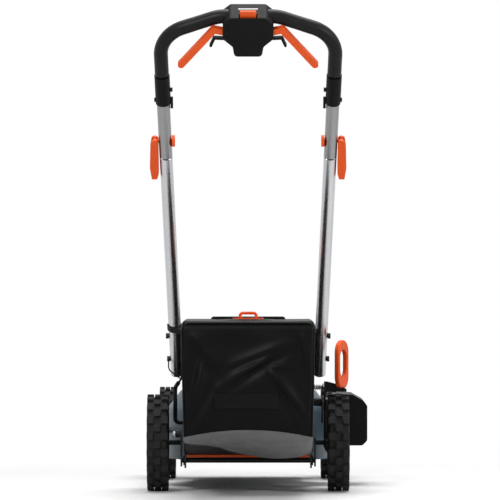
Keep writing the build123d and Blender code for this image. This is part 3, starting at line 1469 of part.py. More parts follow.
with BuildPart() as bag_handle:
    loop_half = LOOP_W / 2 - LOOP_R
    pad_top = BAG_TOP_Z + PAD_T
    with BuildSketch(plan(BAG_TOP_Z)):
        with Locations((0, LOOP_Y)):
            RectangleRounded(LOOP_W + 2 * LOOP_H, 2 * LOOP_H, LOOP_R)
    extrude(amount=PAD_T)
    with BuildLine(rear(LOOP_Y)) as loop_line:
        FilletPolyline(
            (-loop_half, pad_top - PAD_T / 2),
            (-loop_half, BAG_TOP_Z + LOOP_H),
            (loop_half, BAG_TOP_Z + LOOP_H),
            (loop_half, pad_top - PAD_T / 2),
            radius=2 * LOOP_R,
        )
    with BuildSketch(Plane(origin=loop_line.line @ 0, z_dir=loop_line.line % 0)):
        Circle(LOOP_R)
    sweep(path=loop_line.line)
save(bag_handle.part, "bag_handle")


# Cables on the left: a cable strapped behind the leg runs down into a conduit on the deck, and a
# thin lead joins the lower bolt to it.
def held(u, v, n):
    """Point beside the handle."""
    return HANDLE.from_local_coords(Vector(u, v, n))


def beside(x, y, z):
    """Point right of the middle, forward of the rear axle and above the ground."""
    return Vector(MID_X + x, REAR_Y + y, z)


cable_turn = held(CABLE_U, CABLE_FOOT, CABLE_N)
conduit_turn = beside(CONDUIT_X, CONDUIT_Y, CONDUIT_Z[1])
conduit_top = cable_turn + (conduit_turn - cable_turn) / 2
with BuildPart() as cable_conduit:
    with BuildLine() as conduit_line:
        FilletPolyline(
            conduit_top,
            conduit_turn,
            beside(CONDUIT_X, CONDUIT_Y, CONDUIT_Z[0]),
            beside(-BODY_HALF, CONDUIT_Y, CONDUIT_Z[0]),
            radius=[3 * CONDUIT_R, 2 * CONDUIT_R],
        )
    with BuildSketch(Plane(origin=conduit_line.line @ 0, z_dir=conduit_line.line % 0)):
        Circle(CONDUIT_R)
    sweep(path=conduit_line.line)
save(cable_conduit.part, "cable_conduit")

with BuildPart() as power_cable:
    with BuildLine() as cable_line:
        FilletPolyline(
            held(CABLE_U, STRAP_V + STRAP_W / 2, CABLE_N),
            cable_turn,
            conduit_top,
            radius=CABLE_BEND,
        )
    with BuildSketch(Plane(origin=cable_line.line @ 0, z_dir=cable_line.line % 0)):
        Circle(CABLE_R)
    sweep(path=cable_line.line)
    strap_plane = leg_plane(-1, STRAP_V)
    cable_side = strap_plane.to_local_coords(held(CABLE_U, STRAP_V, CABLE_N))
    with BuildSketch(strap_plane):
        Circle(TUBE_R + STRAP_T)
        with Locations((0, TUBE_R)):
            Rectangle(4 * TUBE_R, 2 * TUBE_R, mode=Mode.SUBTRACT)
        strip((0, -TUBE_R), (cable_side.X, cable_side.Y), 3 * CABLE_R)
        Circle(TUBE_R, mode=Mode.SUBTRACT)
    extrude(amount=STRAP_W)
save(power_cable.part, "power_cable")

with BuildPart() as earth_lead:
    with BuildLine() as lead_line:
        FilletPolyline(
            held(LEAD_U, 0, LEAD_N[0]),
            held(LEAD_U, -LEAD_DROP, LEAD_N[1]),
            held(CABLE_U - CABLE_R - LEAD_R - LEVER_GAP, CABLE_FOOT, CABLE_N),
            radius=LEAD_BEND,
        )
    with BuildSketch(Plane(origin=lead_line.line @ 0, z_dir=lead_line.line % 0)):
        Circle(LEAD_R)
    sweep(path=lead_line.line)
save(earth_lead.part, "earth_lead")
print(f"cable bends {CABLE_BEND} and {LEAD_BEND} mm, conduit bends {3 * CONDUIT_R} and {2 * CONDUIT_R} mm")
for name, piece, line, radius in (
    ("conduit", cable_conduit, conduit_line, CONDUIT_R),
    ("lead", earth_lead, lead_line, LEAD_R),
):
    swept = pi * radius**2 * sum(edge.length for edge in line.edges())
    print(f"{name}: volume {piece.part.volume:.0f}, section by length {swept:.0f} mm3")
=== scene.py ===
import math

import bmesh
import bpy
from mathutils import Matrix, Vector, noise


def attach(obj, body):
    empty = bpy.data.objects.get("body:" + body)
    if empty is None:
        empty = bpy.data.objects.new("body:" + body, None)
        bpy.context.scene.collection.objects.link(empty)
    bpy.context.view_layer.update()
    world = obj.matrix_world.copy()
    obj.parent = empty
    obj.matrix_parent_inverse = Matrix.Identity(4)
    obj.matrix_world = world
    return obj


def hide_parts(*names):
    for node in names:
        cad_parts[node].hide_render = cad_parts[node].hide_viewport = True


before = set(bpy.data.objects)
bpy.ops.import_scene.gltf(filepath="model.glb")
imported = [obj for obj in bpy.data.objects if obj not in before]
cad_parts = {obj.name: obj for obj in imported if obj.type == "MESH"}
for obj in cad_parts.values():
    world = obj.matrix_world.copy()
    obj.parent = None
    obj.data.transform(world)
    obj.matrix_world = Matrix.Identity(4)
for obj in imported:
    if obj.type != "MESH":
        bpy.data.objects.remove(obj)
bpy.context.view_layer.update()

# Studio: a pale floor under three soft lamps. The camera stands far behind the mower, level and at
# half its height, as in the photograph. The mower's middle lies left of the origin.
MOWER_X = -0.02475
AXLE_Y = 0.00826
CAMERA_BACK = 10.0
CAMERA_UP = 0.576
CAMERA_RIGHT = 0.0043
CAMERA_LENS = 300.5
FLOOR_SIZE = 30.0
FLOOR_DROP = 0.0005
FLOOR_GREY = 0.8
FLOOR_ROUGH = 0.9
SKY_STRENGTH = 0.28
LIT_RADIUS = (0.75, 1.5)
WHITE = (1, 1, 1, 1)
LAMPS = {
    "overhead": {"spot": (0.2, 0.2, 3.2), "aim": (0, 0, 0), "size": 2.4, "power": 105},
    "left_lamp": {"spot": (-1.5, -3.4, 2.5), "aim": (0, 0, 0.4), "size": 1.1, "power": 75},
    "right_lamp": {"spot": (2.8, -2.0, 1.4), "aim": (0, 0, 0.5), "size": 1.2, "power": 45},
}

scene = bpy.context.scene
scene.view_settings.view_transform = "Standard"
camera = bpy.data.objects.new("camera", bpy.data.cameras.new("camera"))
camera.data.lens = CAMERA_LENS
camera.data.clip_end = CAMERA_BACK + FLOOR_SIZE
camera.location = (MOWER_X + CAMERA_RIGHT, AXLE_Y - CAMERA_BACK, CAMERA_UP)
camera.rotation_euler = (math.radians(90), 0, 0)
scene.collection.objects.link(camera)
scene.camera = camera


def seen_directly(tree):
    """A mask in a tree that is 1 where the camera, a reflection or clear matter looks at it."""
    path = tree.nodes.new("ShaderNodeLightPath")
    mask = path.outputs["Is Camera Ray"]
    for ray in ("Is Glossy Ray", "Is Transmission Ray"):
        either = tree.nodes.new("ShaderNodeMath")
        either.operation = "MAXIMUM"
        tree.links.new(mask, either.inputs[0])
        tree.links.new(path.outputs[ray], either.inputs[1])
        mask = either.outputs[0]
    return mask


studio = bpy.data.worlds.new("studio")
scene.world = studio
studio.use_nodes = True
studio_tree = studio.node_tree
sky = studio_tree.nodes["Background"]
sky.inputs["Color"].default_value = WHITE
sky.inputs["Strength"].default_value = SKY_STRENGTH
backdrop = studio_tree.nodes.new("ShaderNodeBackground")
backdrop.inputs["Color"].default_value = WHITE
sky_mix = studio_tree.nodes.new("ShaderNodeMixShader")
studio_tree.links.new(seen_directly(studio_tree), sky_mix.inputs["Fac"])
studio_tree.links.new(sky.outputs[0], sky_mix.inputs[1])
studio_tree.links.new(backdrop.outputs[0], sky_mix.inputs[2])
studio_tree.links.new(sky_mix.outputs[0], studio_tree.nodes["World Output"].inputs["Surface"])

bpy.ops.object.select_all(action="DESELECT")
bpy.ops.mesh.primitive_plane_add(size=FLOOR_SIZE, location=(0, 0, -FLOOR_DROP))
floor = bpy.context.object
floor.name = "floor"
paper = bpy.data.materials.new("floor_paper")
paper.use_nodes = True
paper_tree = paper.node_tree
paper_skin = paper_tree.nodes["Principled BSDF"]
paper_skin.inputs["Base Color"].default_value = (FLOOR_GREY, FLOOR_GREY, FLOOR_GREY, 1)
paper_skin.inputs["Roughness"].default_value = FLOOR_ROUGH
paper_skin.inputs["Specular IOR Level"].default_value = 0
paper_far = paper_tree.nodes.new("ShaderNodeEmission")
paper_far.inputs["Color"].default_value = WHITE
paper_spot = paper_tree.nodes.new("ShaderNodeTexCoord")
paper_length = paper_tree.nodes.new("ShaderNodeVectorMath")
paper_length.operation = "LENGTH"
paper_fade = paper_tree.nodes.new("ShaderNodeMapRange")
paper_fade.interpolation_type = "SMOOTHSTEP"
paper_fade.inputs["From Min"].default_value = LIT_RADIUS[0]
paper_fade.inputs["From Max"].default_value = LIT_RADIUS[1]
paper_share = paper_tree.nodes.new("ShaderNodeMath")
paper_share.operation = "MULTIPLY"
paper_mix = paper_tree.nodes.new("ShaderNodeMixShader")
paper_tree.links.new(paper_spot.outputs["Object"], paper_length.inputs[0])
paper_tree.links.new(paper_length.outputs["Value"], paper_fade.inputs["Value"])
paper_tree.links.new(paper_fade.outputs["Result"], paper_share.inputs[0])
paper_tree.links.new(seen_directly(paper_tree), paper_share.inputs[1])
paper_tree.links.new(paper_share.outputs[0], paper_mix.inputs["Fac"])
paper_tree.links.new(paper_skin.outputs[0], paper_mix.inputs[1])
paper_tree.links.new(paper_far.outputs[0], paper_mix.inputs[2])
paper_tree.links.new(paper_mix.outputs[0], paper_tree.nodes["Material Output"].inputs["Surface"])
floor.data.materials.append(paper)

for lamp_name, lamp in LAMPS.items():
    light = bpy.data.lights.new(lamp_name, "AREA")
    light.shape = "SQUARE"
    light.size = lamp["size"]
    light.energy = lamp["power"]
    softbox = bpy.data.objects.new(lamp_name, light)
    softbox.location = lamp["spot"]
    to_mower = Vector(lamp["aim"]) - Vector(lamp["spot"])
    softbox.rotation_euler = to_mower.to_track_quat("-Z", "Y").to_euler()
    scene.collection.objects.link(softbox)


# Tyres: black moulded rubber rings with staggered square lugs, pressed on to the rims. The rubber is
# dull, a little grey on the lugs, with a fine grain from the mould.
def effect_group(name, inputs):
    """A shader group that reads a place on the piece and puts out Tone, Wear and Height."""
    group = bpy.data.node_groups.new(name, "ShaderNodeTree")
    group.interface.new_socket("Place", in_out="INPUT", socket_type="NodeSocketVector")
    for label, value in inputs.items():
        socket = group.interface.new_socket(label, in_out="INPUT", socket_type="NodeSocketFloat")
        socket.default_value = value
    for label in ("Tone", "Wear", "Height"):
        group.interface.new_socket(label, in_out="OUTPUT", socket_type="NodeSocketFloat")
    return group, group.nodes.new("NodeGroupInput").outputs, group.nodes.new("NodeGroupOutput").inputs


def cloud(group, place, scale, detail):
    """Noise in a group over a place, at a set or a linked scale."""
    node = group.nodes.new("ShaderNodeTexNoise")
    node.inputs["Detail"].default_value = detail
    group.links.new(place, node.inputs["Vector"])
    if isinstance(scale, float):
        node.inputs["Scale"].default_value = scale
    else:
        group.links.new(scale, node.inputs["Scale"])
    return node.outputs["Fac"]


def blend(group, operation, first, second):
    """One sum or product of two sockets in a group."""
    node = group.nodes.new("ShaderNodeMath")
    node.operation = operation
    group.links.new(first, node.inputs[0])
    group.links.new(second, node.inputs[1])
    return node.outputs[0]


DUST_SCALE = 160.0
DUST_DETAIL = 8.0
PATCH_DETAIL = 6.0
GRAIN_DETAIL = 2.0
moulded, given, result = effect_group("moulded_skin", {"Grain": 900.0, "Patch": 18.0, "Dust": 0.5})
mould_patch = cloud(moulded, given["Place"], given["Patch"], PATCH_DETAIL)
mould_speck = cloud(moulded, given["Place"], DUST_SCALE, DUST_DETAIL)
mould_tone = blend(moulded, "ADD", mould_patch, blend(moulded, "MULTIPLY", mould_speck, given["Dust"]))
moulded.links.new(mould_tone, result["Tone"])
moulded.links.new(mould_tone, result["Wear"])
moulded.links.new(cloud(moulded, given["Place"], given["Grain"], GRAIN_DETAIL), result["Height"])


def surface(name, group, values, dark, light, rough, relief, gloss=0.5, metallic=0.0, coat=0.0, turn=0.0):
    """A material whose colour, roughness and relief follow a group over the piece."""
    material = bpy.data.materials.new(name)
    material.use_nodes = True
    nodes, links = material.node_tree.nodes, material.node_tree.links
    shader = nodes["Principled BSDF"]
    shader.inputs["Metallic"].default_value = metallic
    shader.inputs["Specular IOR Level"].default_value = gloss
    shader.inputs["Coat Weight"].default_value = coat
    spot = nodes.new("ShaderNodeTexCoord")
    turned = nodes.new("ShaderNodeMapping")
    turned.inputs["Rotation"].default_value = (math.radians(turn), 0, 0)
    effect = nodes.new("ShaderNodeGroup")
    effect.node_tree = group
    for label, value in values.items():
        effect.inputs[label].default_value = value
    links.new(spot.outputs["Object"], turned.inputs["Vector"])
    links.new(turned.outputs["Vector"], effect.inputs["Place"])
    tone = nodes.new("ShaderNodeMix")
    tone.data_type = "RGBA"
    tone.inputs["A"].default_value = (*dark, 1)
    tone.inputs["B"].default_value = (*light, 1)
    links.new(effect.outputs["Tone"], tone.inputs["Factor"])
    links.new(tone.outputs["Result"], shader.inputs["Base Color"])
    wear = nodes.new("ShaderNodeMapRange")
    wear.inputs["To Min"].default_value = rough[0]
    wear.inputs["To Max"].default_value = rough[1]
    links.new(effect.outputs["Wear"], wear.inputs["Value"])
    links.new(wear.outputs["Result"], shader.inputs["Roughness"])
    bump = nodes.new("ShaderNodeBump")
    bump.inputs["Strength"].default_value = relief[0]
    bump.inputs["Distance"].default_value = relief[1]
    links.new(effect.outputs["Height"], bump.inputs["Height"])
    links.new(bump.outputs["Normal"], shader.inputs["Normal"])
    return material


def dress(material, *nodes):
    """Give solid pieces a material."""
    for node in nodes:
        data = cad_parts[node].data
        data.materials.clear()
        data.materials.append(material)


WHEELS = ("rear_left", "rear_right", "front_left", "front_right")
tyre_rubber = surface(
    "tyre_rubber", moulded, {"Grain": 650.0, "Patch": 34.0, "Dust": 0.5}, gloss=0.14,
    dark=(0.006, 0.006, 0.0063), light=(0.021, 0.021, 0.0215), rough=(0.5, 0.8), relief=(0.3, 0.0006))
dress(tyre_rubber, *[f"tyre_{wheel}" for wheel in WHEELS])

# Rims: six-spoked wheels moulded in dark plastic in one shot with the hub. They are a little
# smoother than the tyres, with a faint flow pattern from the mould.
rim_plastic = surface(
    "rim_plastic", moulded, {"Grain": 1200.0, "Patch": 20.0, "Dust": 0.3}, gloss=0.14,
    dark=(0.005, 0.005, 0.0055), light=(0.011, 0.011, 0.0115), rough=(0.35, 0.6), relief=(0.15, 0.0003))
dress(rim_plastic, *[f"rim_{wheel}" for wheel in WHEELS])

# Axles and linkage: round steel rods with welded crank plates, a bent link rod and the brackets
# that hold them, all black powder coated. They turn in black plastic bushes.
black_coat = surface(
    "black_coat", moulded, {"Grain": 1500.0, "Patch": 25.0, "Dust": 0.3}, gloss=0.2,
    dark=(0.004, 0.004, 0.0043), light=(0.010, 0.010, 0.0105), rough=(0.28, 0.5), relief=(0.12, 0.0002))
black_plastic = surface(
    "black_plastic", moulded, {"Grain": 1300.0, "Patch": 16.0, "Dust": 0.4}, gloss=0.07,
    dark=(0.0024, 0.0024, 0.0026), light=(0.0062, 0.0062, 0.0065), rough=(0.3, 0.5), relief=(0.2, 0.0003))
dress(black_coat, "rear_axle", "front_axle", "tie_rod", "front_brackets")
dress(black_plastic, "axle_bushes")

# Pin caps: small zinc-plated push caps on the ends of the two link pins. Each is pressed from sheet
# with a domed end, and its bore grips the pin outside the link rod's eye.
drawn, given, result = effect_group("drawn_metal", {"Grain": 60.0, "Stretch": 0.02})
ACROSS_STRETCH = 12.0
LINE_DETAIL = 3.0
SHADE_SCALE = 9.0
SHADE_DETAIL = 4.0
draw_scale = drawn.nodes.new("ShaderNodeCombineXYZ")
draw_scale.inputs["X"].default_value = ACROSS_STRETCH
draw_scale.inputs["Y"].default_value = ACROSS_STRETCH
drawn.links.new(given["Stretch"], draw_scale.inputs["Z"])
draw_place = drawn.nodes.new("ShaderNodeVectorMath")
draw_place.operation = "MULTIPLY"
drawn.links.new(given["Place"], draw_place.inputs[0])
drawn.links.new(draw_scale.outputs[0], draw_place.inputs[1])
draw_lines = cloud(drawn, draw_place.outputs[0], given["Grain"], LINE_DETAIL)
drawn.links.new(cloud(drawn, given["Place"], SHADE_SCALE, SHADE_DETAIL), result["Tone"])
drawn.links.new(draw_lines, result["Wear"])
drawn.links.new(draw_lines, result["Height"])
zinc_plate = surface(
    "zinc_plate", drawn, {"Grain": 80.0, "Stretch": 0.4}, metallic=1.0,
    dark=(0.5, 0.51, 0.52), light=(0.64, 0.65, 0.66), rough=(0.25, 0.45), relief=(0.1, 0.0002))
WHEELBASE = 0.550
PIN_BEHIND = 0.035
PIN_Z = 0.136
CAP_X = (-0.1797, -0.1734)
CAP_RADIUS = 0.0078
CAP_BORE = 0.0043
CAP_BORE_DEPTH = 0.0050
CAP_DOME = (0.0030, 0.0010)
CAP_BEVEL = 0.0009
CAP_BEVEL_STEPS = 3
CAP_SIDES = 40
CAP_END_FACING = math.cos(math.radians(10))
for end, pin_y in (("rear", -PIN_BEHIND), ("front", WHEELBASE - PIN_BEHIND)):
    bpy.ops.object.select_all(action="DESELECT")
    bpy.ops.mesh.primitive_cylinder_add(
        vertices=CAP_SIDES, radius=CAP_RADIUS, depth=CAP_X[1] - CAP_X[0], rotation=(0, math.pi / 2, 0),
        location=(MOWER_X + sum(CAP_X) / 2, AXLE_Y + pin_y, PIN_Z))
    cap = bpy.context.object
    cap.name = f"pin_cap_{end}"
    bpy.ops.object.transform_apply(location=True, rotation=True, scale=True)
    bpy.ops.object.mode_set(mode="EDIT")
    bpy.ops.mesh.select_mode(type="FACE")
    for side, inset, reach in ((1, CAP_RADIUS - CAP_BORE, -CAP_BORE_DEPTH), (-1, CAP_DOME[0], -CAP_DOME[1])):
        shape = bmesh.from_edit_mesh(cap.data)
        for face in shape.faces:
            face.select_set(face.normal.x * side > CAP_END_FACING)
        shape.select_flush_mode()
        bmesh.update_edit_mesh(cap.data)
        bpy.ops.mesh.inset(thickness=inset)
        if side > 0:
            bpy.ops.mesh.extrude_region_move(TRANSFORM_OT_translate={"value": (reach, 0, 0)})
        else:
            bpy.ops.transform.translate(value=(reach, 0, 0))
    bpy.ops.object.mode_set(mode="OBJECT")
    rounding = cap.modifiers.new("rounding", "BEVEL")
    rounding.width = CAP_BEVEL
    rounding.segments = CAP_BEVEL_STEPS
    bpy.ops.object.modifier_apply(modifier=rounding.name)
    bpy.ops.object.shade_smooth_by_angle()
    cap.data.materials.append(zinc_plate)
    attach(cap, f"{end}_crank")

# Height lever: a black moulded arm on a steel stem at the right rear wheel, set in a notched steel
# sector, with a thick orange hand loop on its end. The orange plastic is satin.
orange_plastic = surface(
    "orange_plastic", moulded, {"Grain": 1600.0, "Patch": 14.0, "Dust": 0.25}, gloss=0.16,
    dark=(0.52, 0.055, 0.008), light=(0.70, 0.086, 0.012), rough=(0.3, 0.5), relief=(0.12, 0.0002))
dress(black_plastic, "height_lever")
dress(black_coat, "height_sector")
dress(orange_plastic, "height_grip")

# Deck: a pressed steel shell, powder coated in blue grey, with an orange moulded frame clipped into
# the tunnel's rear mouth.
deck_paint = surface(
    "deck_paint", moulded, {"Grain": 2200.0, "Patch": 9.0, "Dust": 0.3}, gloss=0.2, coat=0.08,
    dark=(0.030, 0.049, 0.064), light=(0.050, 0.077, 0.097), rough=(0.3, 0.5), relief=(0.1, 0.0002))
dress(deck_paint, "deck_shell")
dress(orange_plastic, "tunnel_mouth")

# Power unit: a cast motor in the deck's well under a black moulded cover, a battery under a lid and a
# ground steel blade on a cast mount, held by one large zinc-plated bolt.
cast_metal = surface(
    "cast_metal", moulded, {"Grain": 500.0, "Patch": 30.0, "Dust": 0.4}, metallic=1.0,
    dark=(0.18, 0.18, 0.19), light=(0.27, 0.27, 0.28), rough=(0.45, 0.65), relief=(0.3, 0.0004))
blade_steel = surface(
    "blade_steel", drawn, {"Grain": 50.0, "Stretch": 1.0}, metallic=1.0,
    dark=(0.3, 0.31, 0.33), light=(0.42, 0.43, 0.45), rough=(0.28, 0.5), relief=(0.15, 0.0002))
dress(black_plastic, "motor_cover", "battery_lid", "battery_pack")
dress(cast_metal, "motor", "blade_mount")
dress(blade_steel, "blade")
dress(zinc_plate, "blade_bolt")

# Side discharge: a hood moulded in black plastic over the opening in the deck's right side. It hangs
# by its hinge eyes on the pin of a black steel bracket, and is swung up by hand.
dress(black_coat, "chute_bracket")
dress(black_plastic, "side_deflector")

# Handle legs: drawn aluminium tubes with fine lines along them, on black steel brackets with moulded
# saddles, plugs and bolts at the foot. The upper legs get a darker copy of the tube metal: painted shade
# for the dimmer light towards the handle's top.
LEG_LEAN = -40.0
leg_metal = surface(
    "leg_metal", drawn, {"Grain": 60.0, "Stretch": 0.02}, metallic=1.0, turn=LEG_LEAN,
    dark=(0.47, 0.475, 0.485), light=(0.57, 0.575, 0.585), rough=(0.22, 0.32), relief=(0.03, 0.0001))
# Painted shade: the same drawn metal as the lower tubes, made darker to stand for the dimmer light up the
# legs.
upper_metal_painted_shade = surface(
    "upper_metal_painted_shade", drawn, {"Grain": 60.0, "Stretch": 0.02}, metallic=1.0, turn=LEG_LEAN,
    dark=(0.25, 0.25, 0.255), light=(0.32, 0.32, 0.325), rough=(0.26, 0.36), relief=(0.03, 0.0001))
dress(leg_metal, "lower_tube_left", "lower_tube_right")
dress(upper_metal_painted_shade, "upper_leg_left", "upper_leg_right")
dress(black_coat, "handle_brackets", "tube_bolts")
dress(black_plastic, "tube_saddles", "tube_end_plugs")

# Fold clamps: an orange cam lever and a round orange nut, both moulded in plastic, on the steel bolt
# through each leg. Swung down, the lever draws the upper leg tight against the lower tube.
dress(orange_plastic, "fold_bolts", "cam_lever_left", "cam_lever_right")

# Bar: one bent steel tube with a black powder coat. Its ends are held in black moulded sleeves on the
# upper legs, each drawn tight by a clamp and its bolt.
dress(black_coat, "handle_bar")
dress(black_plastic, "handle_sleeves", "sleeve_clamps")

# Hand grips: sleeves of closed-cell foam pushed over the bar from each end. The foam swells a little
# between the bends, rounds over at its ends and has fine pores.
HANDLE_FOOT = (0.020, 0.315)
HANDLE_TILT = math.radians(50)
LEG_FOOT_HALF = 0.1725
LEG_SPREAD = 0.0268
GRIP_FOOT = 0.858
GRIP_CORNER = 0.973
GRIP_CROSS = 1.025
GRIP_CROSS_HALF = 0.066
GRIP_END = 0.0405
GRIP_BEND = 0.080
GRIP_RADIUS = 0.016
GRIP_BORE = 0.0131
GRIP_SWELL = 0.0004
GRIP_WAVES = 25
GRIP_SIDES = 40
GRIP_STEP = 0.004
MERGE_SHARE = 0.1


def on_handle(across, along, behind):
    """The place of a point across, up and behind the handle's plane."""
    forward = HANDLE_FOOT[0] - math.cos(HANDLE_TILT) * along - math.sin(HANDLE_TILT) * behind
    up = HANDLE_FOOT[1] + math.sin(HANDLE_TILT) * along - math.cos(HANDLE_TILT) * behind
    return Vector((MOWER_X + across, AXLE_Y + forward, up))


def rounded_line(corners, radius, step):
    """Points about a step apart along a line whose inner corners are rounded."""
    points = [Vector(corners[0])]
    for before, corner, after in zip(corners, corners[1:], corners[2:]):
        corner = Vector(corner)
        inward = (Vector(before) - corner).normalized()
        onward = (Vector(after) - corner).normalized()
        half_turn = inward.angle(onward) / 2
        centre = corner + (inward + onward).normalized() * radius / math.sin(half_turn)
        start = (corner + inward * radius / math.tan(half_turn) - centre).normalized()
        finish = (corner + onward * radius / math.tan(half_turn) - centre).normalized()
        parts = max(2, round(start.angle(finish) * radius / step))
        points += [centre + start.slerp(finish, part / parts) * radius for part in range(parts + 1)]
    points.append(Vector(corners[-1]))
    spaced = [points[0]]
    for first, second in zip(points, points[1:]):
        parts = max(1, round((second - first).length / step))
        spaced += [first.lerp(second, part / parts) for part in range(1, parts + 1)]
    return spaced


def heading(line, index):
    """The direction of a line of points at one of them."""
    return (line[min(index + 1, len(line) - 1)] - line[max(index - 1, 0)]).normalized()


def ring_faces(mesh, first, second):
    """A band of faces between two rings of as many corners."""
    for corner in range(len(first)):
        after = (corner + 1) % len(first)
        mesh.faces.new((first[corner], first[after], second[after], second[corner]))


def piece_from(name, mesh, material, body):
    """Make a finished mesh a piece on a body, with its material."""
    bmesh.ops.recalc_face_normals(mesh, faces=mesh.faces)
    data = bpy.data.meshes.new(name)
    mesh.to_mesh(data)
    mesh.free()
    data.shade_smooth()
    data.materials.append(material)
    piece = bpy.data.objects.new(name, data)
    scene.collection.objects.link(piece)
    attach(piece, body)
    return piece


def foam_sleeve(hand):
    """One foam sleeve on its side of the bar, as a closed tube with rounded ends."""
    corners = [(LEG_FOOT_HALF + LEG_SPREAD * along, along, 0) for along in (GRIP_FOOT, GRIP_CORNER)]
    corners += [(GRIP_CROSS_HALF, GRIP_CROSS, 0), (GRIP_END, GRIP_CROSS, 0)]
    line = rounded_line(corners, GRIP_BEND, GRIP_STEP)
    wall = GRIP_RADIUS - GRIP_BORE
    skin = []
    for index, spot in enumerate(line):
        from_end = min(index, len(line) - 1 - index) * GRIP_STEP
        past = max(0, wall - from_end)
        swell = GRIP_SWELL * noise.noise(spot * GRIP_WAVES) * min(1, from_end / GRIP_RADIUS)
        skin.append((index, GRIP_BORE + math.sqrt(wall**2 - past**2) + swell))
    bore = [(index, GRIP_BORE) for index in reversed(range(len(line)))]
    mesh = bmesh.new()
    rings = []
    for index, radius in skin + bore:
        ahead = heading(line, index)
        ring = []
        for side in range(GRIP_SIDES):
            turn = 2 * math.pi * side / GRIP_SIDES
            place = line[index] + Vector((-ahead.y, ahead.x, 0)) * radius * math.cos(turn)
            ring.append(mesh.verts.new(on_handle(hand * place.x, place.y, radius * math.sin(turn))))
        rings.append(ring)
    for first, second in zip(rings, rings[1:] + rings[:1]):
        ring_faces(mesh, first, second)
    bmesh.ops.remove_doubles(mesh, verts=mesh.verts, dist=GRIP_SWELL * MERGE_SHARE)
    return mesh


foam_skin = surface(
    "foam_skin", moulded, {"Grain": 420.0, "Patch": 45.0, "Dust": 0.6}, gloss=0.12,
    dark=(0.003, 0.003, 0.0032), light=(0.009, 0.009, 0.0093), rough=(0.28, 0.42), relief=(0.3, 0.0005))
for hand_name, hand in (("left", -1), ("right", 1)):
    foam = piece_from(f"foam_{hand_name}", foam_sleeve(hand), foam_skin, "upper_handle")
    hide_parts("handle_grips")

# Console: two black moulded halves screwed together round the bar, with orange bail levers on steel
# pins, a short black lock lever under each bail and an orange thumb paddle in its top.
dress(black_plastic, "console_rear", "console_front", "lock_lever_left", "lock_lever_right")
dress(orange_plastic, "bail_left", "bail_right", "speed_paddle")
dress(zinc_plate, "lever_pins")

# Rear flap: a black moulded plate that lies on the bag's front slope, turned down by a bright wire
# spring on its black rod.
dress(black_plastic, "rear_flap")
dress(black_coat, "flap_rod")
dress(zinc_plate, "flap_spring")

# Grass bag: black coated cloth sewn from panels over a moulded front frame. It is empty, so the rear
# panel has long slack folds, the top sags round the handle's pad and the sides draw in.
BAG_HALF = 0.152
BAG_FRONT = -0.057
BAG_REAR = -0.440
BAG_SLOPE_REAR = -0.1493
BAG_FOOT = (0.096, 0.158)
BAG_SLOPE_FOOT = 0.2822
BAG_TOP = 0.414
BAG_EDGE = 0.010
BAG_ROUND = 0.020
CLOTH_STEP = 0.0045
CLOTH_T = 0.0014
MOUTH_HALF = 0.138
MOUTH_Z = (0.110, 0.240)
HOOK_X = (0.138, 0.147)
HOOK_Z = (0.251, 0.266)
PAD_HALF = (0.042, 0.020)
PAD_Y = -0.200
PAD_CALM = 0.030
FACING = (0.9, 1.0)
TOP_SAG = 0.009
TOP_RIPPLE = (0.7, 0.6, 14)
SIDE_DRAW = 0.010
SIDE_DEEP = 0.180
SIDE_START = (-0.062, -0.120)
SIDE_CREASE = (0.8, 0.35)
SIDE_WAVES = (11, 7, 5)
PANEL_SWELL = 0.004
HEM_LIFT = (0.006, 0.017)
HEM_REACH = 0.090
TAPER = (0.014, 0.028)
TAPER_START = -0.120
TAPER_Z = (0.400, 0.160)
SLACK = (0.0042, 13)
FOLD_CALM = 0.030
FOLD_TOP = (0.398, 0.375)
FOLD_FOOT = (0.150, 0.185)
FOLD_LEAN = (1.4, 0.55)
FOLD_SHARP = 1.6
FOLD_END = 0.12
FOLD_TROUGH = (0.6, 1.2)
# Each fold of the rear panel: its two ends across and up, its height and its half width.
FOLDS = [
    ((-0.066, 0.258), (0.100, 0.364), 0.0085, 0.011),
    ((-0.040, 0.312), (0.074, 0.358), 0.0050, 0.009),
    ((0.050, 0.298), (0.136, 0.196), 0.0085, 0.011),
    ((-0.101, 0.336), (-0.136, 0.200), 0.0085, 0.012),
    ((0.050, 0.309), (0.094, 0.305), 0.0040, 0.006),
    ((-0.122, 0.378), (-0.066, 0.296), 0.0050, 0.015),
    ((0.122, 0.388), (0.141, 0.284), 0.0060, 0.012),
    ((-0.072, 0.256), (-0.122, 0.172), 0.0060, 0.012),
    ((0.084, 0.240), (0.126, 0.170), 0.0055, 0.011),
    ((-0.024, 0.292), (0.058, 0.330), 0.0030, 0.008),
]
mower_at = Vector((MOWER_X, AXLE_Y, 0))


def ease(low, high, value):
    """0 at low, 1 at high and an even ease between, in either direction."""
    share = min(1, max(0, (value - low) / (high - low)))
    return share * share * (3 - 2 * share)


def fold_height(across, up):
    """How far the rear panel stands out at a place, from its slack and its folds."""
    total = SLACK[0] * noise.noise(Vector((across, up, 0)) * SLACK[1])
    for start, end, height, width in FOLDS:
        run = Vector((end[0] - start[0], end[1] - start[1]))
        off = Vector((across - start[0], up - start[1]))
        share = off.dot(run) / run.length_squared
        near = min(1, max(0, share))
        aside = (run.x * off.y - run.y * off.x) / run.length / width
        beyond = (share - near) * run.length / width
        gap = math.hypot(aside / FOLD_LEAN[0 if aside > 0 else 1], beyond)
        crest = math.exp(-(gap**FOLD_SHARP))
        trough = FOLD_TROUGH[0] * math.exp(-((aside + FOLD_TROUGH[1]) ** 2) - beyond**2)
        fade = math.sin(math.pi * (FOLD_END + (1 - 2 * FOLD_END) * near))
        total += height * fade * (crest - trough)
    calm = ease(0, FOLD_CALM, BAG_HALF - abs(across))
    return total * calm * ease(*FOLD_TOP, up) * ease(*FOLD_FOOT, up)


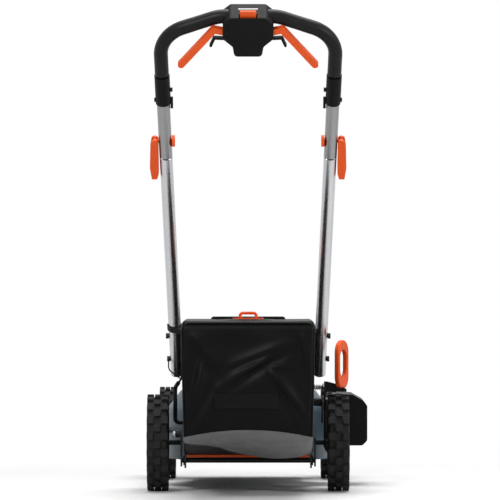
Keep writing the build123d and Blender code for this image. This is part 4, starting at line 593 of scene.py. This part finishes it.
def hem_shift(across, up):
    """How far the rear panel's foot is drawn up in its middle and hangs at its corners."""
    low = ease(HEM_REACH, 0, up - BAG_FOOT[1])
    return low * (HEM_LIFT[0] - HEM_LIFT[1] * (across / BAG_HALF) ** 2)


def bag_taper(forward, up):
    """How much wider the slack bag is than its frame towards the rear: full above, narrow below."""
    rear = ease(TAPER_START, BAG_REAR, forward)
    return 1 + rear * (TAPER[0] - (TAPER[0] + TAPER[1]) * ease(*TAPER_Z, up))


def cloth_place(across, forward, up, outward):
    """A point of the sewn cloth, moved from its taut place by folds, sag and its own weight."""
    rear, roof = ease(*FACING, -outward[0]), ease(*FACING, outward[1])
    place = Vector((across * bag_taper(forward, up), forward, up))
    if rear:
        swell = PANEL_SWELL * math.sin(math.pi * (up - BAG_FOOT[1]) / (BAG_TOP - BAG_FOOT[1]))
        place.y -= rear * (fold_height(across, up) + swell)
        place.z += rear * hem_shift(across, up)
    if roof:
        along = (forward - BAG_REAR) / (BAG_SLOPE_REAR - BAG_REAR)
        span = math.sin(math.pi * min(1, max(0, along))) * (1 - (across / BAG_HALF) ** 2)
        off_pad = max(abs(across) - PAD_HALF[0], abs(forward - PAD_Y) - PAD_HALF[1])
        wave = noise.noise(Vector((across, forward, 1)) * TOP_RIPPLE[2])
        ripple = TOP_RIPPLE[0] + TOP_RIPPLE[1] * wave
        place.z -= roof * TOP_SAG * span * ease(0, PAD_CALM, off_pad) * ripple
    return place


def side_place(share, high, low, hand):
    """A point of a side panel between its upper edge and its foot, drawn in and creased."""
    spot = high.lerp(low, share)
    waves = (spot.x * SIDE_WAVES[0] + spot.y * SIDE_WAVES[1], spot.y * SIDE_WAVES[2], hand)
    crease = SIDE_CREASE[0] + SIDE_CREASE[1] * noise.noise(Vector(waves))
    depth = math.sin(math.pi * share) * min(1, (high - low).length / SIDE_DEEP)
    half = BAG_HALF - SIDE_DRAW * depth * ease(*SIDE_START, spot.x) * crease
    place = Vector((hand * half * bag_taper(spot.x, spot.y), spot.x, spot.y))
    place.z += hem_shift(place.x, place.z) * ease(BAG_REAR + HEM_REACH, BAG_REAR, place.y)
    return place


def edge_drop(across):
    """How far the cloth rounds over at a place across, where the side panels are sewn on."""
    past = max(0, abs(across) - (BAG_HALF - BAG_EDGE))
    return BAG_EDGE - math.sqrt(max(0, BAG_EDGE**2 - past**2))


def spread(*breaks):
    """Places about a cloth step apart between breaks, with each break among them."""
    places = [breaks[0]]
    for low, high in zip(breaks, breaks[1:]):
        parts = max(1, round((high - low) / CLOTH_STEP))
        places += [low + (high - low) * part / parts for part in range(1, parts + 1)]
    return places


def grid_faces(mesh, grid):
    """Faces between the rows of a grid of corners."""
    for first, second in zip(grid, grid[1:]):
        for corner in range(len(first) - 1):
            mesh.faces.new((first[corner], first[corner + 1], second[corner + 1], second[corner]))


def bag_cloth_mesh():
    """The sewn shell: one strip over front, slope, top and rear, and a panel on each side."""
    profile = [(BAG_FRONT, BAG_FOOT[0], 0), (BAG_FRONT, BAG_SLOPE_FOOT, 0), (BAG_SLOPE_REAR, BAG_TOP, 0),
               (BAG_REAR, BAG_TOP, 0), (BAG_REAR, BAG_FOOT[1], 0)]
    line = rounded_line(profile, BAG_ROUND, CLOTH_STEP)
    outward = [Vector((heading(line, index).y, -heading(line, index).x, 0)) for index in range(len(line))]
    columns = spread(-BAG_HALF, -HOOK_X[1], -HOOK_X[0], HOOK_X[0], HOOK_X[1], BAG_HALF)
    mesh = bmesh.new()
    rows = []
    for spot, facing in zip(line, outward):
        taut = [(across, spot - facing * edge_drop(across)) for across in columns]
        rows.append([mesh.verts.new(cloth_place(across, place.x, place.y, facing) + mower_at)
                     for across, place in taut])
    grid_faces(mesh, rows)
    open_faces = []
    for face in mesh.faces:
        middle = face.calc_center_median() - mower_at
        across = abs(middle.x)
        in_mouth = across < MOUTH_HALF and MOUTH_Z[0] < middle.z < MOUTH_Z[1]
        in_hook = HOOK_X[0] < across < HOOK_X[1] and HOOK_Z[0] < middle.z < HOOK_Z[1]
        if middle.y > BAG_FRONT - CLOTH_T and (in_mouth or in_hook):
            open_faces.append(face)
    bmesh.ops.delete(mesh, geom=open_faces, context="FACES")
    lengths = [0.0]
    for before, after in zip(line, line[1:]):
        lengths.append(lengths[-1] + (after - before).length)
    parts = round((BAG_TOP - BAG_FOOT[1]) / CLOTH_STEP)
    for hand, column in ((-1, 0), (1, len(columns) - 1)):
        panel = []
        for index, spot in enumerate(line):
            low = line[0].lerp(line[-1], lengths[index] / lengths[-1])
            high = spot - outward[index] * BAG_EDGE
            lower = [mesh.verts.new(side_place(part / parts, high, low, hand) + mower_at)
                     for part in range(1, parts + 1)]
            panel.append([rows[index][column]] + lower)
        grid_faces(mesh, panel)
    bmesh.ops.remove_doubles(mesh, verts=mesh.verts, dist=CLOTH_STEP * MERGE_SHARE)
    return mesh


def give_wall(piece, thickness):
    """Turn a sheet into cloth of a thickness, inward from its face."""
    wall = piece.modifiers.new("wall", "SOLIDIFY")
    wall.thickness = thickness
    wall.offset = -1
    bpy.context.view_layer.objects.active = piece
    bpy.ops.object.modifier_apply(modifier=wall.name)


woven, given, result = effect_group("woven_cloth", {"Threads": 420.0, "Patch": 14.0})
THREAD_WOBBLE = 0.6
weave = []
for direction in ("X", "Z"):
    thread = woven.nodes.new("ShaderNodeTexWave")
    thread.bands_direction = direction
    thread.inputs["Distortion"].default_value = THREAD_WOBBLE
    woven.links.new(given["Place"], thread.inputs["Vector"])
    woven.links.new(given["Threads"], thread.inputs["Scale"])
    weave.append(thread.outputs["Fac"])
woven_cross = blend(woven, "MAXIMUM", *weave)
woven.links.new(cloud(woven, given["Place"], given["Patch"], PATCH_DETAIL), result["Tone"])
woven.links.new(woven_cross, result["Wear"])
woven.links.new(woven_cross, result["Height"])
bag_black = surface(
    "bag_black", woven, {"Threads": 420.0, "Patch": 14.0}, gloss=0.08,
    dark=(0.0006, 0.0006, 0.0008), light=(0.0024, 0.0024, 0.0026), rough=(0.34, 0.46), relief=(0.12, 0.0003))
bag_cloth = piece_from("bag_cloth", bag_cloth_mesh(), bag_black, "grass_bag")
give_wall(bag_cloth, CLOTH_T)
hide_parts("bag_shell")

# Bag piping: a thin round bead along the edge of the rear panel. It is a strip of the bag's own cloth,
# folded over a cord and sewn into the seam.
PIPING_LINE = [(-0.1455, -0.4375, 0.148), (-0.1490, -0.4370, 0.270), (-0.1515, -0.4360, 0.4085),
               (0.1515, -0.4360, 0.4085), (0.1490, -0.4370, 0.270), (0.1455, -0.4375, 0.148)]
PIPING_BEND = 0.018
PIPING_RADIUS = 0.0026
PIPING_SIDES = 12


def piping_mesh():
    """The bead along its seam, closed at both ends."""
    line = rounded_line(PIPING_LINE, PIPING_BEND, CLOTH_STEP)
    mesh = bmesh.new()
    rings = []
    for index, spot in enumerate(line):
        beside = heading(line, index).cross(Vector((0, 1, 0))).normalized()
        above = heading(line, index).cross(beside)
        ring = []
        for side in range(PIPING_SIDES):
            turn = 2 * math.pi * side / PIPING_SIDES
            reach = (beside * math.cos(turn) + above * math.sin(turn)) * PIPING_RADIUS
            ring.append(mesh.verts.new(spot + reach + mower_at))
        rings.append(ring)
    for first, second in zip(rings, rings[1:]):
        ring_faces(mesh, first, second)
    mesh.faces.new(rings[0])
    mesh.faces.new(reversed(rings[-1]))
    return mesh


bag_piping = piece_from("bag_piping", piping_mesh(), bag_black, "grass_bag")

# Bag patch: a bare rectangle of heavier black cloth, low on the rear panel. Its edges are turned in,
# and it is sewn down on all four sides.
PATCH_X = (-0.0795, 0.0730)
PATCH_Z = (0.2095, 0.2465)
PATCH_STEP = 0.0035
PATCH_T = 0.0012
PATCH_HEM = 0.004
PATCH_HEM_T = 0.0018
PATCH_GAP = 0.0002


def patch_mesh():
    """The patch, lying on the rear panel's folds."""
    wide = round((PATCH_X[1] - PATCH_X[0]) / PATCH_STEP)
    high = round((PATCH_Z[1] - PATCH_Z[0]) / PATCH_STEP)
    mesh = bmesh.new()
    grid = []
    for row in range(high + 1):
        up = PATCH_Z[0] + (PATCH_Z[1] - PATCH_Z[0]) * row / high
        line = []
        for column in range(wide + 1):
            across = PATCH_X[0] + (PATCH_X[1] - PATCH_X[0]) * column / wide
            inside = min(across - PATCH_X[0], PATCH_X[1] - across, up - PATCH_Z[0], PATCH_Z[1] - up)
            stand = PATCH_GAP + (PATCH_T if inside > PATCH_HEM else PATCH_HEM_T)
            place = cloth_place(across, BAG_REAR, up, (-1, 0)) + mower_at
            line.append(mesh.verts.new(place - Vector((0, stand, 0))))
        grid.append(line)
    grid_faces(mesh, grid)
    return mesh


patch_black = surface(
    "patch_black", woven, {"Threads": 300.0, "Patch": 30.0}, gloss=0.08,
    dark=(0.002, 0.002, 0.0022), light=(0.0045, 0.0045, 0.0048), rough=(0.5, 0.7), relief=(0.3, 0.0004))
bag_patch = piece_from("bag_patch", patch_mesh(), patch_black, "grass_bag")
give_wall(bag_patch, PATCH_T)

# Bag floor: a grey mesh sheet sewn to the panels' foot. It hangs slack and lower on the right, and
# its front left part, ahead of a diagonal line, is black up to the frame.
FLOOR_FRONT = -0.0595
FLOOR_REAR = -0.4385
FLOOR_HALF = 0.1495
FLOOR_FOOT = (0.0890, 0.1580)
FLOOR_SAG = 0.0265
FLOOR_T = 0.0012
SAG_MIDDLE = 0.42
SAG_WIDTH = (0.45, 0.80)
SAG_LEAST = 0.25
SAG_FORWARD = 1.25
SAG_EDGE = 12
FLOOR_RIPPLE = 0.002
FLOOR_WAVES = (10, 18)
BLACK_SHARE = (0.42, 0.985)
BLACK_TURN = 0.030
HEM_FADE = 0.3


def floor_place(across, share):
    """A point of the slack floor, from the rear hem at share 0 to the frame at share 1."""
    side = across / FLOOR_HALF
    forward = FLOOR_REAR + (FLOOR_FRONT - FLOOR_REAR) * share
    width = SAG_WIDTH[0] if side < SAG_MIDDLE else SAG_WIDTH[1]
    deep = SAG_LEAST + (1 - SAG_LEAST) * math.exp(-(((side - SAG_MIDDLE) / width) ** 2))
    sag = FLOOR_SAG * deep * math.sin(math.pi * share**SAG_FORWARD) * (1 - side**SAG_EDGE)
    waves = Vector((across * FLOOR_WAVES[0], forward * FLOOR_WAVES[1], 0))
    ripple = FLOOR_RIPPLE * noise.noise(waves) * math.sin(math.pi * share)
    lift = ease(HEM_FADE, 0, share) * (HEM_LIFT[0] - HEM_LIFT[1] * side**2)
    up = FLOOR_FOOT[1] + (FLOOR_FOOT[0] - FLOOR_FOOT[1]) * share
    return Vector((across, forward, up - sag + ripple + lift)) + mower_at


def black_share(across):
    """Where the grey mesh ends and the black part starts, as a share of the floor's length."""
    return BLACK_SHARE[0] + (BLACK_SHARE[1] - BLACK_SHARE[0]) * ease(-FLOOR_HALF, BLACK_TURN, across) ** 2


def floor_mesh(start, end):
    """The part of the floor between two shares of its length, each given for a place across."""
    parts = round((FLOOR_FRONT - FLOOR_REAR) / CLOTH_STEP)
    mesh = bmesh.new()
    grid = []
    for across in spread(-FLOOR_HALF, FLOOR_HALF):
        low, high = start(across), end(across)
        shares = [low + (high - low) * part / parts for part in range(parts + 1)]
        grid.append([mesh.verts.new(floor_place(across, share)) for share in shares])
    grid_faces(mesh, grid)
    return mesh


bag_grey = surface(
    "bag_grey", woven, {"Threads": 95.0, "Patch": 24.0}, gloss=0.2,
    dark=(0.09, 0.09, 0.092), light=(0.17, 0.17, 0.173), rough=(0.5, 0.8), relief=(0.7, 0.0010))
bag_mesh = piece_from("bag_mesh", floor_mesh(lambda across: 0, black_share), bag_grey, "grass_bag")
bag_floor_black = piece_from("bag_floor_black", floor_mesh(black_share, lambda across: 1), bag_black, "grass_bag")
give_wall(bag_mesh, FLOOR_T)
give_wall(bag_floor_black, FLOOR_T)
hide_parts("bag_floor")

# Bag frame and loop: the black moulded frame that the panels are sewn to, with its two hooks, and the
# orange carrying loop, moulded in one piece and set on the bag's top.
dress(black_plastic, "bag_frame")
dress(orange_plastic, "bag_handle")

# Cables: a black rubber cable strapped to the left leg, a thin lead at its foot and a black conduit
# clipped to the deck's side.
cable_rubber = surface(
    "cable_rubber", moulded, {"Grain": 1500.0, "Patch": 30.0, "Dust": 0.4}, gloss=0.14,
    dark=(0.003, 0.003, 0.003), light=(0.007, 0.007, 0.007), rough=(0.4, 0.6), relief=(0.1, 0.0002))
dress(cable_rubber, "power_cable", "earth_lead", "cable_conduit")
